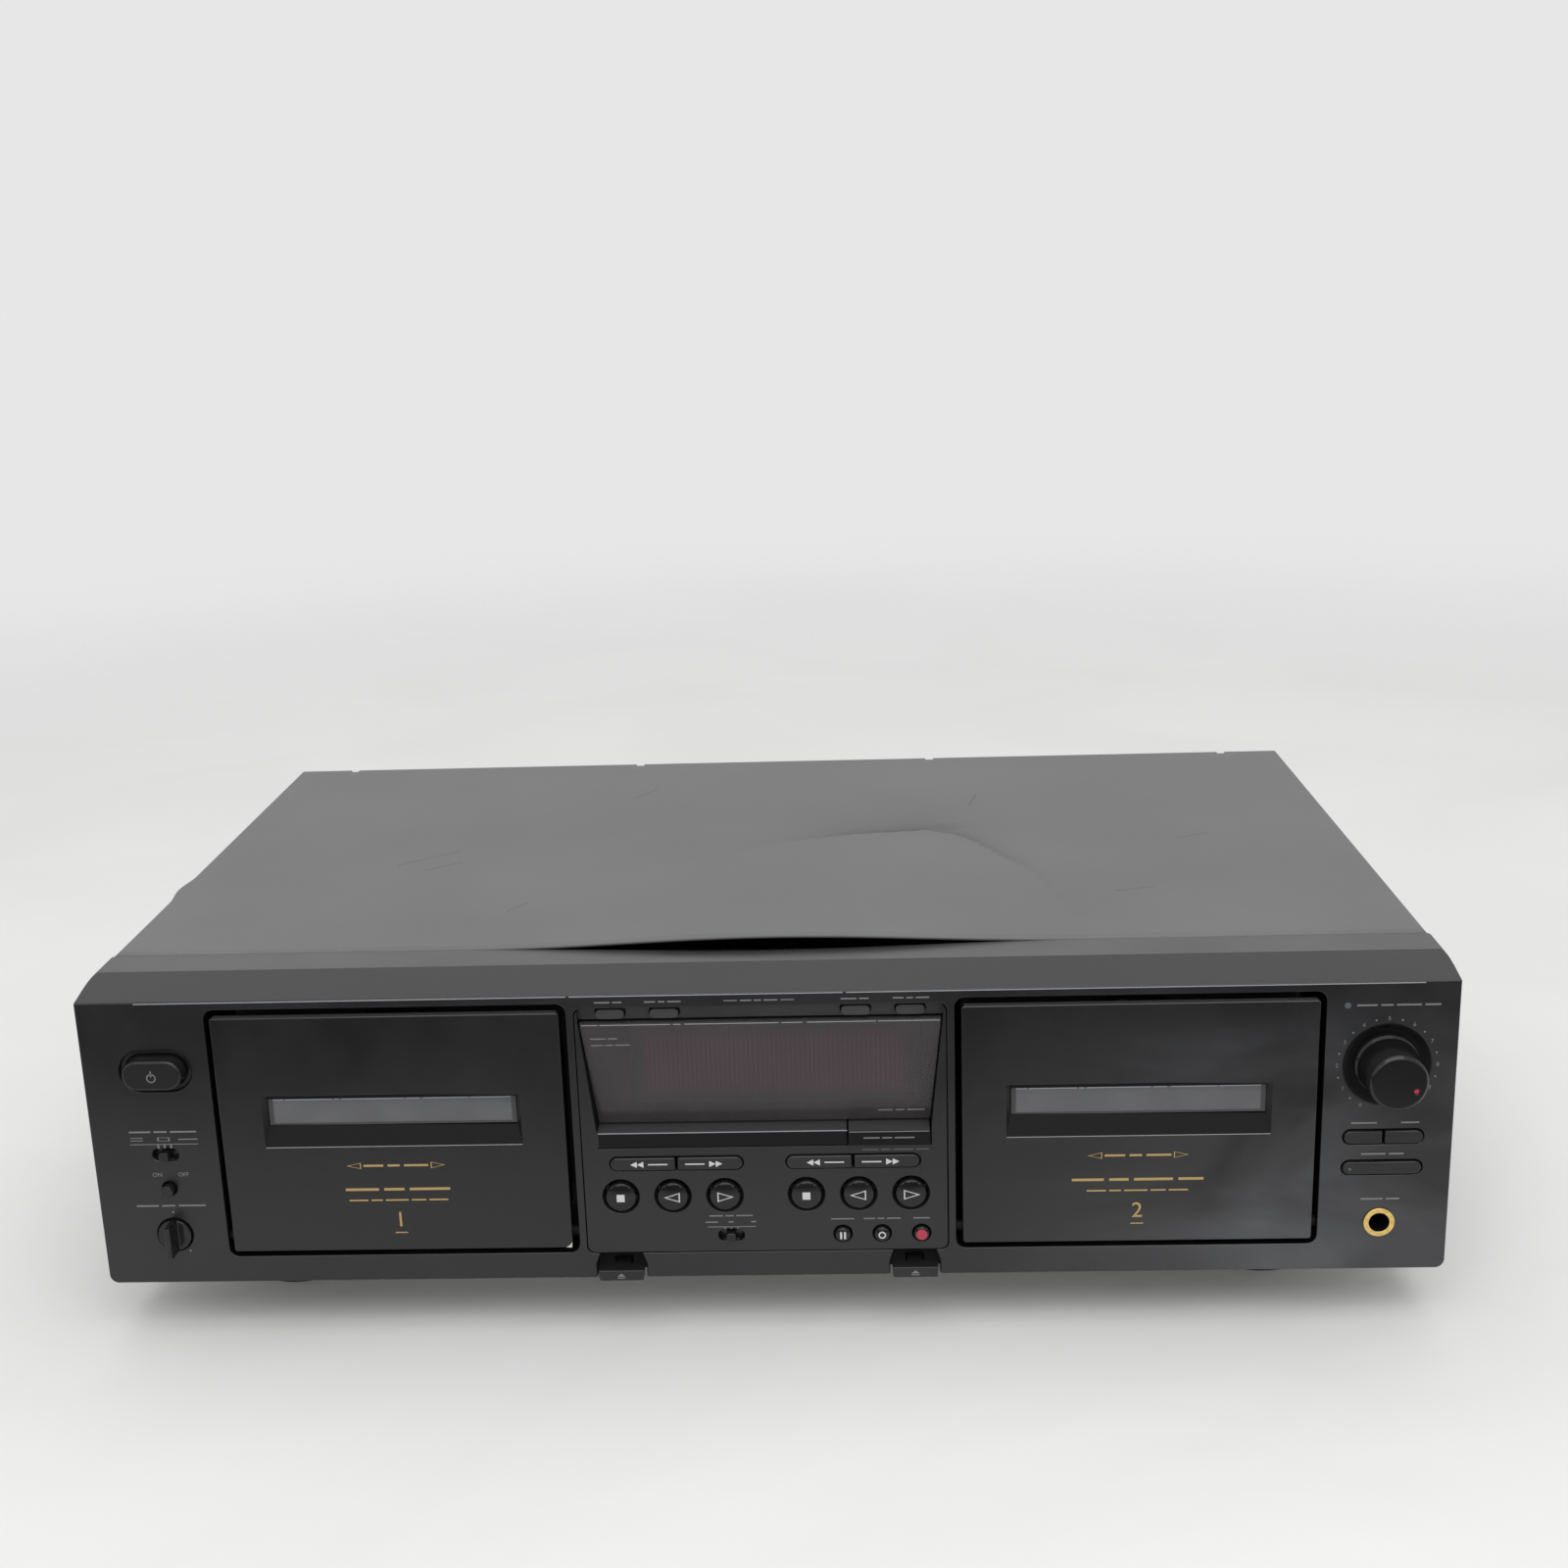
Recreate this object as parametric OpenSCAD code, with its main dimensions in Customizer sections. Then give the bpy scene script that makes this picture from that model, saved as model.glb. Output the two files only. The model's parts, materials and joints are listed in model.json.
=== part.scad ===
/* [Case] */
// Width of the front
case_w = 430; // [424:1:450]
// Height from the floor to the top of the cover
case_h = 120; // [116:1:130]
// Depth from the front face to the back edge of the cover
case_d = 265; // [240:1:320]
// Height of the feet, floor to chassis
foot_h = 19.5; // [15:0.5:24]
// Largest radius of a foot
foot_r = 22; // [16:1:26]
// Thickness of the moulded walls
wall = 2.5; // [2:0.1:3]
// Thickness of the cover sheet
cover_t = 1; // [0.8:0.1:1.5]
// Thickness of the chassis sheet
pan_t = 1.2; // [0.8:0.1:1.6]

/* [Front] */
// Depth of the moulded front, to the seam with the cover
bezel_d = 32.8; // [28:0.2:40]
// Depth of the sloped top edge
slope_d = 17.9; // [10:0.1:24]
// Rise of the sloped top edge
slope_rise = 3.6; // [2:0.1:6]
// Width of the column of controls at each end
column_w = 40.7; // [38:0.1:44]
// Width of a deck opening
deck_w = 113.8; // [111:0.1:116]
// Frame left below a deck opening
deck_sill = 9.2; // [9:0.1:11]
// Frame left above a deck opening
deck_head = 3.1; // [2.5:0.1:5]
// Gap round a door
door_gap = 1.95; // [1.6:0.05:2.4]
// How far the doors stand proud of the front
door_proud = 1.2; // [0.6:0.1:1.6]
// Thickness of a door
door_t = 3; // [2.6:0.1:3.4]

/* [Controls] */
// How far the level knob stands out
knob_proud = 14.5; // [10:0.5:18]
// Radius of the level knob at its foot
knob_r = 10.2; // [8:0.1:10.6]
// Radius of the dished well round the level knob
dish_r = 13.7; // [12.5:0.1:15]
// Length of the power button
power_w = 19; // [16:0.5:20]
// Radius of a round transport button
play_r = 4.8; // [4:0.1:5.2]
// Radius of the small round buttons
dot_r = 2.45; // [2:0.05:2.8]
// Running gap round a button
fit = 0.35; // [0.3:0.01:0.45]
// Travel of the soft-touch buttons
tap = 1; // [0.6:0.1:1.4]
// Travel of the power button
power_travel = 3; // [2:0.1:3.4]
// Travel of the eject buttons
eject_travel = 4; // [2:0.1:4.2]

/* [Transport] */
// Distance between the two reel hubs
hub_pitch = 42.5; // [42:0.1:43]
// Distance between the two capstans
capstan_pitch = 42.4; // [42:0.1:44]
// Flywheel radius
flywheel_r = 20; // [17:0.5:20]
// Motor pulley radius
pulley_r = 4; // [3:0.1:5]
// Radius of the door trunnions
trunnion_r = 2; // [1.6:0.1:2.2]
// Lift of the head carriage
head_lift = 5; // [4:0.1:5.2]
// Radial clearance of shafts in their bearings
run = 0.05; // [0.02:0.01:0.08]

/* [Sockets] */
// Radius of the headphone plug bore
phones_r = 3.2; // [3.18:0.01:3.3]
// Radius of a line jack barrel
pin_jack_r = 4.15; // [4:0.05:4.3]
// Length of a line jack barrel behind the rear panel
pin_jack_l = 9.5; // [8:0.5:11]

/* [Hidden] */
$fn = 48;

// Clearances: past the face that a cut opens, between fixed pieces, round the panel
cut = 1;
gap = 0.2;
seam = 0.25;

// Places shared by the pieces. Depths inside the modules count back from the front face.
front_y = -(case_d + pin_jack_l + knob_proud) / 2 + knob_proud;
front_drop = 0.8;
front_z0 = foot_h - front_drop;
case_top = case_h - 0.1;
front_top = case_top - slope_rise;
deck_z0 = front_z0 + deck_sill;
deck_z1 = front_top - deck_head;
deck_x = case_w / 2 - column_w - deck_w / 2;
deck_r = 3;
rim_t = 1.5;
rim_d = 12;
bezel_r = 3;
pan_top = foot_h + pan_t;
cover_inset = 1.4;
cover_x = case_w / 2 - cover_inset;
cover_d0 = bezel_d + gap;
cover_r = 1.2;
rear_t = 1;
rear_d = case_d - rear_t;
rear_top = case_h - cover_t - gap;
rear_fold = 12;
flange_d = 14;
flange_h = 5;
pan_x = cover_x - cover_t - gap;
pan_side_h = 18;
foot_side = 50;
foot_front = 52;
foot_rear = 42;
foot_x = case_w / 2 - foot_side;
foot_ds = [foot_front, case_d - foot_rear];
foot_dish = 2;
foot_ring = 4.4;
foot_ring_r = foot_r - 2.6;

// Screws, rear hooks, sockets on the rear
screw_r = 1.5;
screw_hole_r = screw_r + 0.1;
screw_l = 4;
screw_head_r = 3.8;
screw_head_t = 1.9;
screw_dome_r = 6;
screw_rise = 10;
screw_z = pan_top + screw_rise;
side_screw_front = 30;
side_screw_rear = 26;
side_screw_ds = [cover_d0 + side_screw_front, rear_d - side_screw_rear];
rear_screw_side = 14;
rear_screw_rise = 8;
rear_screw_x = cover_x - rear_screw_side;
rear_screw_zs = [pan_top + rear_screw_rise, rear_top - 10.8];
notch_w = 3.4;
notch_d = 1.4;
hook_w = notch_w - 0.6;
notch_side = 25.5;
notch_xs = [for (i = [-1.5 : 1.5]) i * (case_w / 2 - notch_side) / 1.5];
jack_side = 64;
jack_x = cover_x - jack_side;
jack_pitch = 16;
jack_row = 18;
jack_rise = 26;
jack_zs = [pan_top + jack_rise, pan_top + jack_rise + jack_row];
jack_bore_r = 1.7;
jack_flange = 1.6;
jack_block_t = 14;
jack_block_d = rear_d - 4;
gland_side = 46;
gland_x = -cover_x + gland_side;
gland_z = pan_top + jack_rise;
gland_r = 3.4;
gland_w = 16;
gland_h = 12;
gland_d0 = rear_d - 6;
gland_d1 = rear_d + 3;

// Columns and rows of controls: the rows keep their share of the front's height
left_inset = 23.4;
right_inset = 21.4;
left_x = -(case_w / 2 - left_inset);
right_x = case_w / 2 - right_inset;
row = (front_top - front_z0) / 97.6;
power_z = front_z0 + 74.3 * row;
direction_z = front_z0 + 45.5 * row;
pitch_switch_z = front_z0 + 33.7 * row;
pitch_z = front_z0 + 17.3 * row;
dial_z = front_z0 + 70 * row;
fader_z = front_z0 + 45.8 * row;
synchro_z = front_z0 + 35.3 * row;
phones_z = front_z0 + 16.5 * row;
seek_z = front_z0 + 40.05 * row;
play_z = front_z0 + 28.7 * row;
dot_z = front_z0 + 14.65 * row;
post_z = front_z0 + 21.8 * row;
bar_z0 = front_z0 + 45.6 * row;
bar_h = 5.2;
bar_z1 = bar_z0 + bar_h;

// Control panel: the places of its controls keep their share of its width
panel_gap = 2.75;
panel_x = deck_x - deck_w / 2 - panel_gap;
share = panel_x / 57.75;
play_x = 29.6 * share;
play_pitch = 16.6 * share;
dot_xs = [24.3, 36.8, 49.4] * share;
noise_x = -11.4 * share;
counter_xs = [-46.8, -29.8, 29.8, 46.8] * share;
eject_x = 47.2 * share;
seek_in = 6.6;
seek_out = 8.35;
seek_w = panel_x - seek_out - seek_in;
half_x = seek_in + seek_w / 2;
post_x = panel_x - 3.75;
post_r = 2;
recess_foot = 4.85;
recess_head = 0.9;
recess_foot_x = panel_x - recess_foot;
recess_head_x = panel_x - recess_head;
dubbing_w = 26.6;
split_x = recess_foot_x - dubbing_w;
tube_sides = [12.9, 4.9];
tube_xs = [tube_sides[0] - recess_foot_x, recess_foot_x - tube_sides[1]];
panel_z0 = deck_z0 - gap;
panel_z1 = deck_z1 - 1.8;
panel_r = 2.5;
recess_d = 9;
recess_back = 1.6;
panel_back = recess_d + recess_back;
recess_wall = 0.7;
window_z0 = bar_z1 + 0.9;
window_z1 = panel_z1 - 5;
window_d0 = 0.9;
window_d1 = 6;
window_t = 2;
band_z0 = window_z1 + 0.4;
counter_z = (band_z0 + panel_z1) / 2;
band_d = 3.5;
board_d = 16;
board_t = 1.6;

// Keys: how far each stands out, its collar behind the wall and its stem
slot_h = 5.1;
key_proud = 0.6;
seek_proud = 0.7;
play_proud = 1.3;
play_dome_r = 20;
dot_proud = 1.4;
dot_dome_r = 6;
collar = 1.2;
collar_side = 0.8;
collar_d0 = wall + gap;
collar_d1 = collar_d0 + collar;
stem_r = 1.5;
stem_end = board_d - tap - 0.6;
tact_w = 6;
tact_t = 0.5;
fader_w = 25.2;
counter_w = 9.7;
counter_h = 3.9;
counter_d = 1.5;
power_h = 10;
power_well = 2;
power_well_d = 1.5;
power_proud = 4;
power_stem = [6, 4];
pitch_r = 5.4;
pitch_well_d = 1.6;
pitch_proud = 7;
pitch_blade = 2.6;
pitch_switch_r = 2;
pitch_switch_proud = 3;
pitch_switch_travel = 2.5;
slide_w = 8.5;
slide_h = 4.2;
slide_peg = 3;
slide_proud = 2.2;
slide_plate = [15, 6.8];
shaft_r = 3;
dish_d = 3;
dish_slope = 2.2;
dish_back = 5;
pot_r = 9;
pot_d = 6;
knob_skirt = 2;
dot_mark_r = 0.9;
dot_mark_angle = 116;
eject_notch = 8;
eject_notch_head = 6.7;
eject_notch_z = front_z0 + 4.8;
eject_w = 14;
eject_flare = 0.4;
eject_z0 = front_z0 + gap;
eject_z1 = front_z0 + 3.8;
eject_proud = 2.6;
eject_d = 1.6;
eject_room = 0.5;
eject_stem_w = 4.8;
eject_stem_z0 = pan_top + 0.4;
eject_stem_z1 = front_z0 + 3.7;
boss_r = 2.5;
boss_x = 8;
rib_t = 1.4;
rib_count = 4;
rib_pitch = case_w / 10;
phones_l = 15;
phones_body = [11, 12];

// Cassette well: a tape stands on its open edge, its width and height taken from the deck opening
holder_side = 3.9;
holder_x = deck_w / 2 - holder_side;
tape_d0 = 3.5;
tape_d1 = 15.7;
hinge_z = deck_z0 + 6.1;
hinge_d = 4;
hinge_ear = 3.5;
tape_z0 = hinge_z + 6.8;
tape_h = deck_z1 - tape_z0 - 8.6;
hub_z = tape_z0 + 35;
capstan_z = tape_z0 + 6;
door_d = door_t - door_proud;
door_r = 1;
door_wall = 2;
door_rib = 1.4;
door_cells = 5;
holder_t = 1.5;
holder_back = tape_d1 + holder_t;
holder_lip = 6.5;
holder_sill = 2.2;
holder_foot = 36;
slot_z0 = hub_z - 9.3;
slot_z1 = hub_z + 8.4;
slot_x = deck_w / 2 - 15.7;
pane_z0 = slot_z0 + 6.8;
pane_x = slot_x - 1.5;
pane_d = door_d - 0.9;

// Transport behind the well
plate_d = 22;
plate_t = 1.6;
plate_top = deck_z1 - 5;
frame_x = deck_w / 2 - 2.9;
frame_tab = 14;
reel_boss_r = 4.2;
capstan_boss_r = 4;
guide_x = 14;
guide_r = 1.5;
fly_d = 28;
fly_t = 8;
fly_hub_r = 3;
yoke_d = 40;
yoke_t = 1.4;
motor_z = capstan_z + 43;
motor_r = 14;
motor_l = 20.6;
motor_d = yoke_d + yoke_t;
pulley_d = 29;
pulley_w = 6;
pulley_rim = 1;
motor_shaft_r = 1.5;
motor_cap_r = 4;
head_z0 = capstan_z - 24;
head_d = 20.2;
head_t = 1.5;
head_x = 30;
head_face_r = 6.2;
head_face_d = 8;
roller_r = 5.5;
roller_w = 6.5;
capstan_r = 1.2;
roller_gap = 0.4;
roller_z = capstan_z - capstan_r - roller_r - head_lift - roller_gap;
reel_shaft_r = 2;
reel_nose_r = 3;
reel_disc_r = 11;
reel_fin = 1.4;
belt_t = 1.2;
belt_w = 2.8;
belt_gap = 0.3;

// Boards and transformer on the chassis
main_x0 = -cover_x * 0.234;
main_x1 = cover_x - 12;
main_d0 = 90;
main_d1 = rear_d - 22;
main_lift = 6;
main_top = pan_top + main_lift + board_t;
spacer_in = 10;
spacer_r = 3;
sink_w = 40;
sink_h = 32;
sink_fin = 10;
sink_pitch = 5;
cap_r = 8;
cap_h = 26;
chip_w = 30;
chip_t = 4;
core_w = 54;
core_t = 28;
core_h = 44;
coil_w = 34;
coil_t = 44;
coil_h = 32;
coil_r = 5;
clamp_w = 64;
clamp_t = 2;
core_x = -cover_x + 63.6;
core_d = rear_d - 60;
vent_w = 3.5;
vent_l = 50;
vent_pitch = 8;
bead_r = 6;
bead_h = 1;
bead_ds = [main_d0 - 16, main_d0 - 6, rear_d - 12];

// Prism along y, its outline drawn in x and z
module along_y(from, to) {
  translate([0, to, 0]) rotate([90, 0, 0]) linear_extrude(to - from) children();
}

// Prism along x, its outline drawn in y and z
module along_x(from, to) {
  translate([from, 0, 0]) rotate([90, 0, 90]) linear_extrude(to - from) children();
}

// Rod along y
module rod(r, from, to) {
  translate([0, from, 0]) rotate([-90, 0, 0]) cylinder(h = to - from, r = r);
}

// Box given by its lowest and highest corner
module span(low, high) {
  translate(low) cube(high - low);
}

// Turned piece along y, its outline given as radius and depth
module turned() {
  rotate([-90, 0, 0]) rotate_extrude() children();
}

// Round hole along x, centred on a point
module cross_hole(x, d, z, r) {
  translate([x, d, z]) rotate([0, 90, 0]) cylinder(h = 2 * screw_l, r = r, center = true);
}

module front() {
  translate([0, front_y, 0]) children();
}

module deck(side) {
  translate([side * deck_x, front_y, 0]) children();
}

module both_hands() {
  for (s = [0, 1]) mirror([s, 0, 0]) children();
}

module soft_rect(x0, z0, x1, z1, r) {
  translate([x0 + r, z0]) square([x1 - x0 - 2 * r, z1 - z0]);
  translate([x0, z0 + r]) square([x1 - x0, z1 - z0 - 2 * r]);
  for (x = [x0 + r, x1 - r], z = [z0 + r, z1 - r]) translate([x, z]) circle(r);
}

module stadium(w, h) {
  square([w - h, h], center = true);
  for (s = [-1, 1]) translate([s * (w - h) / 2, 0]) circle(h / 2);
}

// Outline of the moulded front seen from the side
module bezel_side(inset) {
  polygon([
    [inset, front_z0 + inset], [inset, front_top - inset * 0.8], [slope_d, case_top - inset],
    [bezel_d + inset, case_top - inset], [bezel_d + inset, front_z0 + inset]
  ]);
}

module deck_outline(grow) {
  soft_rect(-deck_w / 2 - grow, deck_z0 - grow, deck_w / 2 + grow, deck_z1 + grow, deck_r + grow);
}

// Notch above an eject button
module eject_outline() {
  polygon([
    [-eject_notch, front_z0 - cut], [-eject_notch, eject_notch_z], [-eject_notch_head, panel_z0 - seam],
    [eject_notch_head, panel_z0 - seam], [eject_notch, eject_notch_z], [eject_notch, front_z0 - cut]
  ]);
}

module slide_slot() {
  along_y(-cut, wall + cut) stadium(slide_w, slide_h);
}

module bezel_shell() {
  inner_x = case_w / 2 - wall;
  difference() {
    intersection() {
      along_y(0, bezel_d) {
        soft_rect(-case_w / 2, front_z0, case_w / 2, case_top, bezel_r);
        soft_rect(-case_w / 2, case_top - 8, case_w / 2, case_top, 2);
      }
      along_x(-case_w / 2, case_w / 2) bezel_side(0);
    }
    along_x(-inner_x, inner_x) bezel_side(wall);
    span([-inner_x, flange_d, front_z0 - cut], [inner_x, bezel_d + cut, front_z0 + wall + cut]);
  }
}

// Ribs that stiffen the top edge behind the deck rims
module lip_ribs() {
  for (i = [-rib_count : rib_count]) translate([i * rib_pitch, 0, 0]) along_x(-rib_t / 2, rib_t / 2) polygon([
    [rim_d - 1, deck_z1 + rim_t / 2], [rim_d - 1, case_top - wall - 0.4], [slope_d, case_top - wall / 2],
    [bezel_d - 2, case_top - wall / 2], [bezel_d - 2, case_top - 4]
  ]);
}

// Posts that carry a board behind a column of controls
module board_bosses(x, heights) {
  for (z = heights, s = [-1, 1]) translate([x + s * boss_x, 0, z]) rod(boss_r, wall, board_d);
}

module front_bezel() color([0.13, 0.13, 0.14]) front() {
  difference() {
    union() {
      bezel_shell();
      lip_ribs();
      for (s = [-1, 1]) translate([s * deck_x, 0, 0]) along_y(wall, rim_d) deck_outline(rim_t);
      translate([right_x, 0, dial_z]) rod(dish_r + rim_t, wall, dish_back);
      for (s = [-1, 1]) translate([s * eject_x, 0, 0])
        span([-eject_notch - rim_t, wall, front_z0], [eject_notch + rim_t, 3 * wall, panel_z0 + 2]);
      board_bosses(left_x, [power_z - 14, pitch_z + 10]);
      board_bosses(right_x, [fader_z + 8, synchro_z - 7]);
    }
    for (s = [-1, 1]) translate([s * deck_x, 0, 0]) {
      along_y(-cut, rim_d + cut) deck_outline(0);
      along_x(-deck_w / 2 - rim_t - 0.1, deck_w / 2 + rim_t + 0.1)
        translate([hinge_d, hinge_z]) circle(trunnion_r + run);
    }
    along_y(-cut, rim_d)
      soft_rect(-panel_x - seam, panel_z0 - seam, panel_x + seam, panel_z1 + seam, panel_r);
    for (s = [-1, 1]) translate([s * eject_x, 0, 0]) {
      along_y(-cut, eject_d + eject_travel + 0.4) eject_outline();
      span([-eject_stem_w / 2 - eject_room, eject_d + eject_travel - eject_room, eject_stem_z0 - eject_room],
        [eject_stem_w / 2 + eject_room, flange_d + cut, eject_stem_z1 + eject_room]);
    }
    translate([left_x, 0, power_z]) {
      along_y(-cut, power_well_d) stadium(power_w + 2 * power_well, power_h + 2 * power_well);
      along_y(-cut, wall + cut) stadium(power_w + 2 * fit, power_h + 2 * fit);
    }
    translate([left_x, 0, direction_z]) slide_slot();
    translate([left_x, 0, pitch_switch_z]) rod(pitch_switch_r + fit, -cut, wall + cut);
    translate([left_x, 0, pitch_z]) {
      rod(pitch_r + fit, -cut, pitch_well_d);
      rod(shaft_r + run, -cut, wall + cut);
    }
    translate([right_x, 0, dial_z]) {
      turned() polygon([[0, -0.1], [dish_r, -0.1], [dish_r - dish_slope, dish_d], [0, dish_d]]);
      rod(shaft_r + run, dish_d - cut, dish_back + cut);
    }
    for (z = [fader_z, synchro_z]) translate([right_x, 0, z])
      along_y(-cut, wall + cut) stadium(fader_w, slot_h);
    translate([right_x, 0, phones_z]) rod(phones_r + 1.4, -cut, wall + cut);
  }
}

module recess_outline(grow, top) {
  foot_x = recess_foot_x + grow;
  head_x = recess_head_x + grow;
  foot_z = bar_z0 - gap - grow;
  bend_z = [window_z0 - 0.4, window_z1 + 1];
  polygon([
    [-foot_x, foot_z], [-foot_x, bend_z[0]], [-head_x, bend_z[1]], [-head_x, top],
    [head_x, top], [head_x, bend_z[1]], [foot_x, bend_z[0]], [foot_x, foot_z]
  ]);
}

module panel_outline() {
  soft_rect(-panel_x, panel_z0, panel_x, panel_z1, panel_r);
}

// Round well with a chamfered mouth for a domed key
module key_well(r, mouth, depth) {
  turned() polygon([
    [0, -0.1], [r + mouth, -0.1], [r + fit, depth], [r + fit, wall + cut], [0, wall + cut]
  ]);
}

module control_panel() color([0.14, 0.14, 0.15]) front() {
  difference() {
    union() {
      along_y(0, wall) panel_outline();
      intersection() {
        along_y(wall, panel_back) recess_outline(recess_wall, panel_z1);
        along_y(0, panel_back) panel_outline();
      }
      for (i = [-1, 0, 1]) translate([i * post_x, 0, post_z]) rod(post_r, wall, board_d);
    }
    difference() {
      along_y(-cut, recess_d) recess_outline(0, panel_z1 + cut);
      along_y(band_d, recess_d + cut) intersection() {
        translate([-panel_x, band_z0]) square([2 * panel_x, panel_z1 - band_z0]);
        panel_outline();
      }
      span([-recess_foot_x - 0.1, -key_proud, bar_z0], [split_x, recess_d + cut, bar_z1]);
    }
    span([tube_xs[0] - 2, 1, window_z0 + 4], [tube_xs[1] + 2, panel_back + cut, window_z1 - 3]);
    span([split_x + 8, recess_d - cut, bar_z0 + 1], [split_x + 14, recess_d + 3, bar_z1 - 1]);
    for (x = counter_xs) translate([x, 0, counter_z])
      along_y(band_d - cut, panel_back + cut) stadium(counter_w, counter_h);
    for (s = [-1, 1]) translate([s * half_x, 0, seek_z])
      along_y(-cut, wall + cut) stadium(seek_w, slot_h);
    for (s = [-1, 1], i = [-1, 0, 1]) translate([s * play_x + i * play_pitch, 0, play_z])
      key_well(play_r, 1.3, 1.4);
    for (x = dot_xs) translate([x, 0, dot_z]) key_well(dot_r, 0.7, 0.8);
    translate([noise_x, 0, dot_z]) slide_slot();
  }
}

// The window leans: its foot stands deeper in the recess than its head
module display_window() color([0.2, 0.14, 0.15, 0.8]) front() intersection() {
  along_y(-cut, recess_d) polygon([
    [-recess_foot_x + seam, window_z0], [-recess_head_x + seam + 0.3, window_z1],
    [recess_head_x - seam - 0.3, window_z1], [recess_foot_x - seam, window_z0]
  ]);
  along_x(-panel_x, panel_x) polygon([
    [window_d1, window_z0], [window_d0, window_z1],
    [window_d0 + window_t, window_z1], [window_d1 + window_t, window_z0]
  ]);
}

// Row of vent slots through the floor, side by side along x
module floor_vents(x, d, count) {
  for (i = [0 : count - 1]) translate([x + i * vent_pitch, d, foot_h - cut])
    linear_extrude(pan_t + 2 * cut) rotate(90) stadium(vent_l, vent_w);
}

// Pressed bead across the floor
module floor_bead(x0, x1, d) {
  intersection() {
    translate([x0, d, pan_top + bead_h - bead_r]) rotate([0, 90, 0]) cylinder(h = x1 - x0, r = bead_r);
    span([x0, d - bead_r, pan_top - pan_t / 2], [x1, d + bead_r, pan_top + bead_h]);
  }
}

module chassis_pan() color([0.62, 0.63, 0.62]) front() difference() {
  union() {
    span([-pan_x, flange_d, foot_h], [pan_x, rear_d - rear_t, pan_top]);
    span([-pan_x + 6, flange_d, foot_h], [pan_x - 6, flange_d + pan_t, pan_top + flange_h]);
    both_hands()
      span([pan_x - pan_t, cover_d0 + 1, foot_h], [pan_x, rear_d - rear_t, pan_top + pan_side_h]);
    for (d = bead_ds) floor_bead(-pan_x + 20, pan_x - 20, d);
  }
  for (s = [-1, 1])
    span([s * eject_x - eject_notch - cut, flange_d - cut, pan_top],
      [s * eject_x + eject_notch + cut, flange_d + 3, pan_top + flange_h + cut]);
  floor_vents(core_x - vent_pitch * 4, core_d - 75, 9);
  floor_vents(main_x0 + 40, (main_d0 + main_d1) / 2, 18);
  for (s = [-1, 1], d = side_screw_ds) cross_hole(s * cover_x, d, screw_z, screw_hole_r);
}

module pan_head_screw() {
  intersection() {
    cylinder(h = screw_head_t, r = screw_head_r);
    translate([0, 0, screw_head_t - screw_dome_r]) sphere(screw_dome_r);
  }
  translate([0, 0, -screw_l]) cylinder(h = screw_l, r = screw_r);
}

module case_screws() color([0.2, 0.2, 0.2]) front() {
  for (s = [-1, 1], d = side_screw_ds)
    translate([s * cover_x, d, screw_z]) rotate([0, s * 90, 0]) pan_head_screw();
  for (s = [-1, 1], z = rear_screw_zs)
    translate([s * rear_screw_x, rear_d, z]) rotate([-90, 0, 0]) pan_head_screw();
}

module top_cover() color([0.28, 0.28, 0.29]) front() difference() {
  along_y(cover_d0, case_d) difference() {
    soft_rect(-cover_x, foot_h, cover_x, case_h, cover_r);
    translate([-cover_x + cover_t, foot_h - cut])
      square([2 * (cover_x - cover_t), case_h - cover_t - foot_h + cut]);
  }
  for (x = notch_xs)
    span([x - notch_w / 2, rear_d - notch_d, case_h - 3], [x + notch_w / 2, case_d + cut, case_h + cut]);
  for (s = [-1, 1], d = side_screw_ds) cross_hole(s * cover_x, d, screw_z, screw_hole_r);
}

// Folded sheet: lips run forward along the top and both sides, hooks stand up into the cover's notches
module rear_panel() color([0.24, 0.24, 0.25]) front() difference() {
  union() {
    span([-pan_x, rear_d - rear_t, foot_h], [pan_x, rear_d, rear_top]);
    span([-pan_x + 4, rear_d - rear_fold, rear_top - rear_t], [pan_x - 4, rear_d, rear_top]);
    both_hands()
      span([pan_x - rear_t, rear_d - rear_fold, pan_top + pan_side_h + 2], [pan_x, rear_d, rear_top - 6]);
    for (x = notch_xs) translate([x, 0, 0])
      span([-hook_w / 2, rear_d - rear_t, rear_top - 3], [hook_w / 2, rear_d, rear_top + 0.8]);
    translate([gland_x, 0, gland_z]) along_y(gland_d0, gland_d1)
      soft_rect(-gland_w / 2, -gland_h / 2, gland_w / 2, gland_h / 2, 2);
  }
  translate([gland_x, 0, gland_z]) rod(gland_r, gland_d0 - cut, gland_d1 + cut);
  for (i = [-1, 1], z = jack_zs)
    translate([jack_x + i * jack_pitch / 2, 0, z]) rod(pin_jack_r + 0.6, rear_d - 2, rear_d + cut);
  for (s = [-1, 1], z = rear_screw_zs)
    translate([s * rear_screw_x, 0, z]) rod(screw_hole_r, rear_d - 2, rear_d + cut);
}

// Four sleeves, each with its bore, in front of one moulded block
module line_jacks() color([0.75, 0.7, 0.6]) front() {
  for (i = [-1, 1], z = jack_zs) translate([jack_x + i * jack_pitch / 2, 0, z]) difference() {
    union() {
      rod(pin_jack_r, jack_block_d + 0.1, rear_d + pin_jack_l + 1);
      rod(pin_jack_r + jack_flange, jack_block_d + 0.1, rear_d - rear_t);
    }
    rod(jack_bore_r, jack_block_d, rear_d + pin_jack_l + 1 + cut);
  }
  translate([jack_x, 0, (jack_zs[0] + jack_zs[1]) / 2]) along_y(jack_block_d - jack_block_t, jack_block_d)
    soft_rect(-jack_pitch - 3, -jack_row, jack_pitch + 3, jack_row, 2);
}

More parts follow.
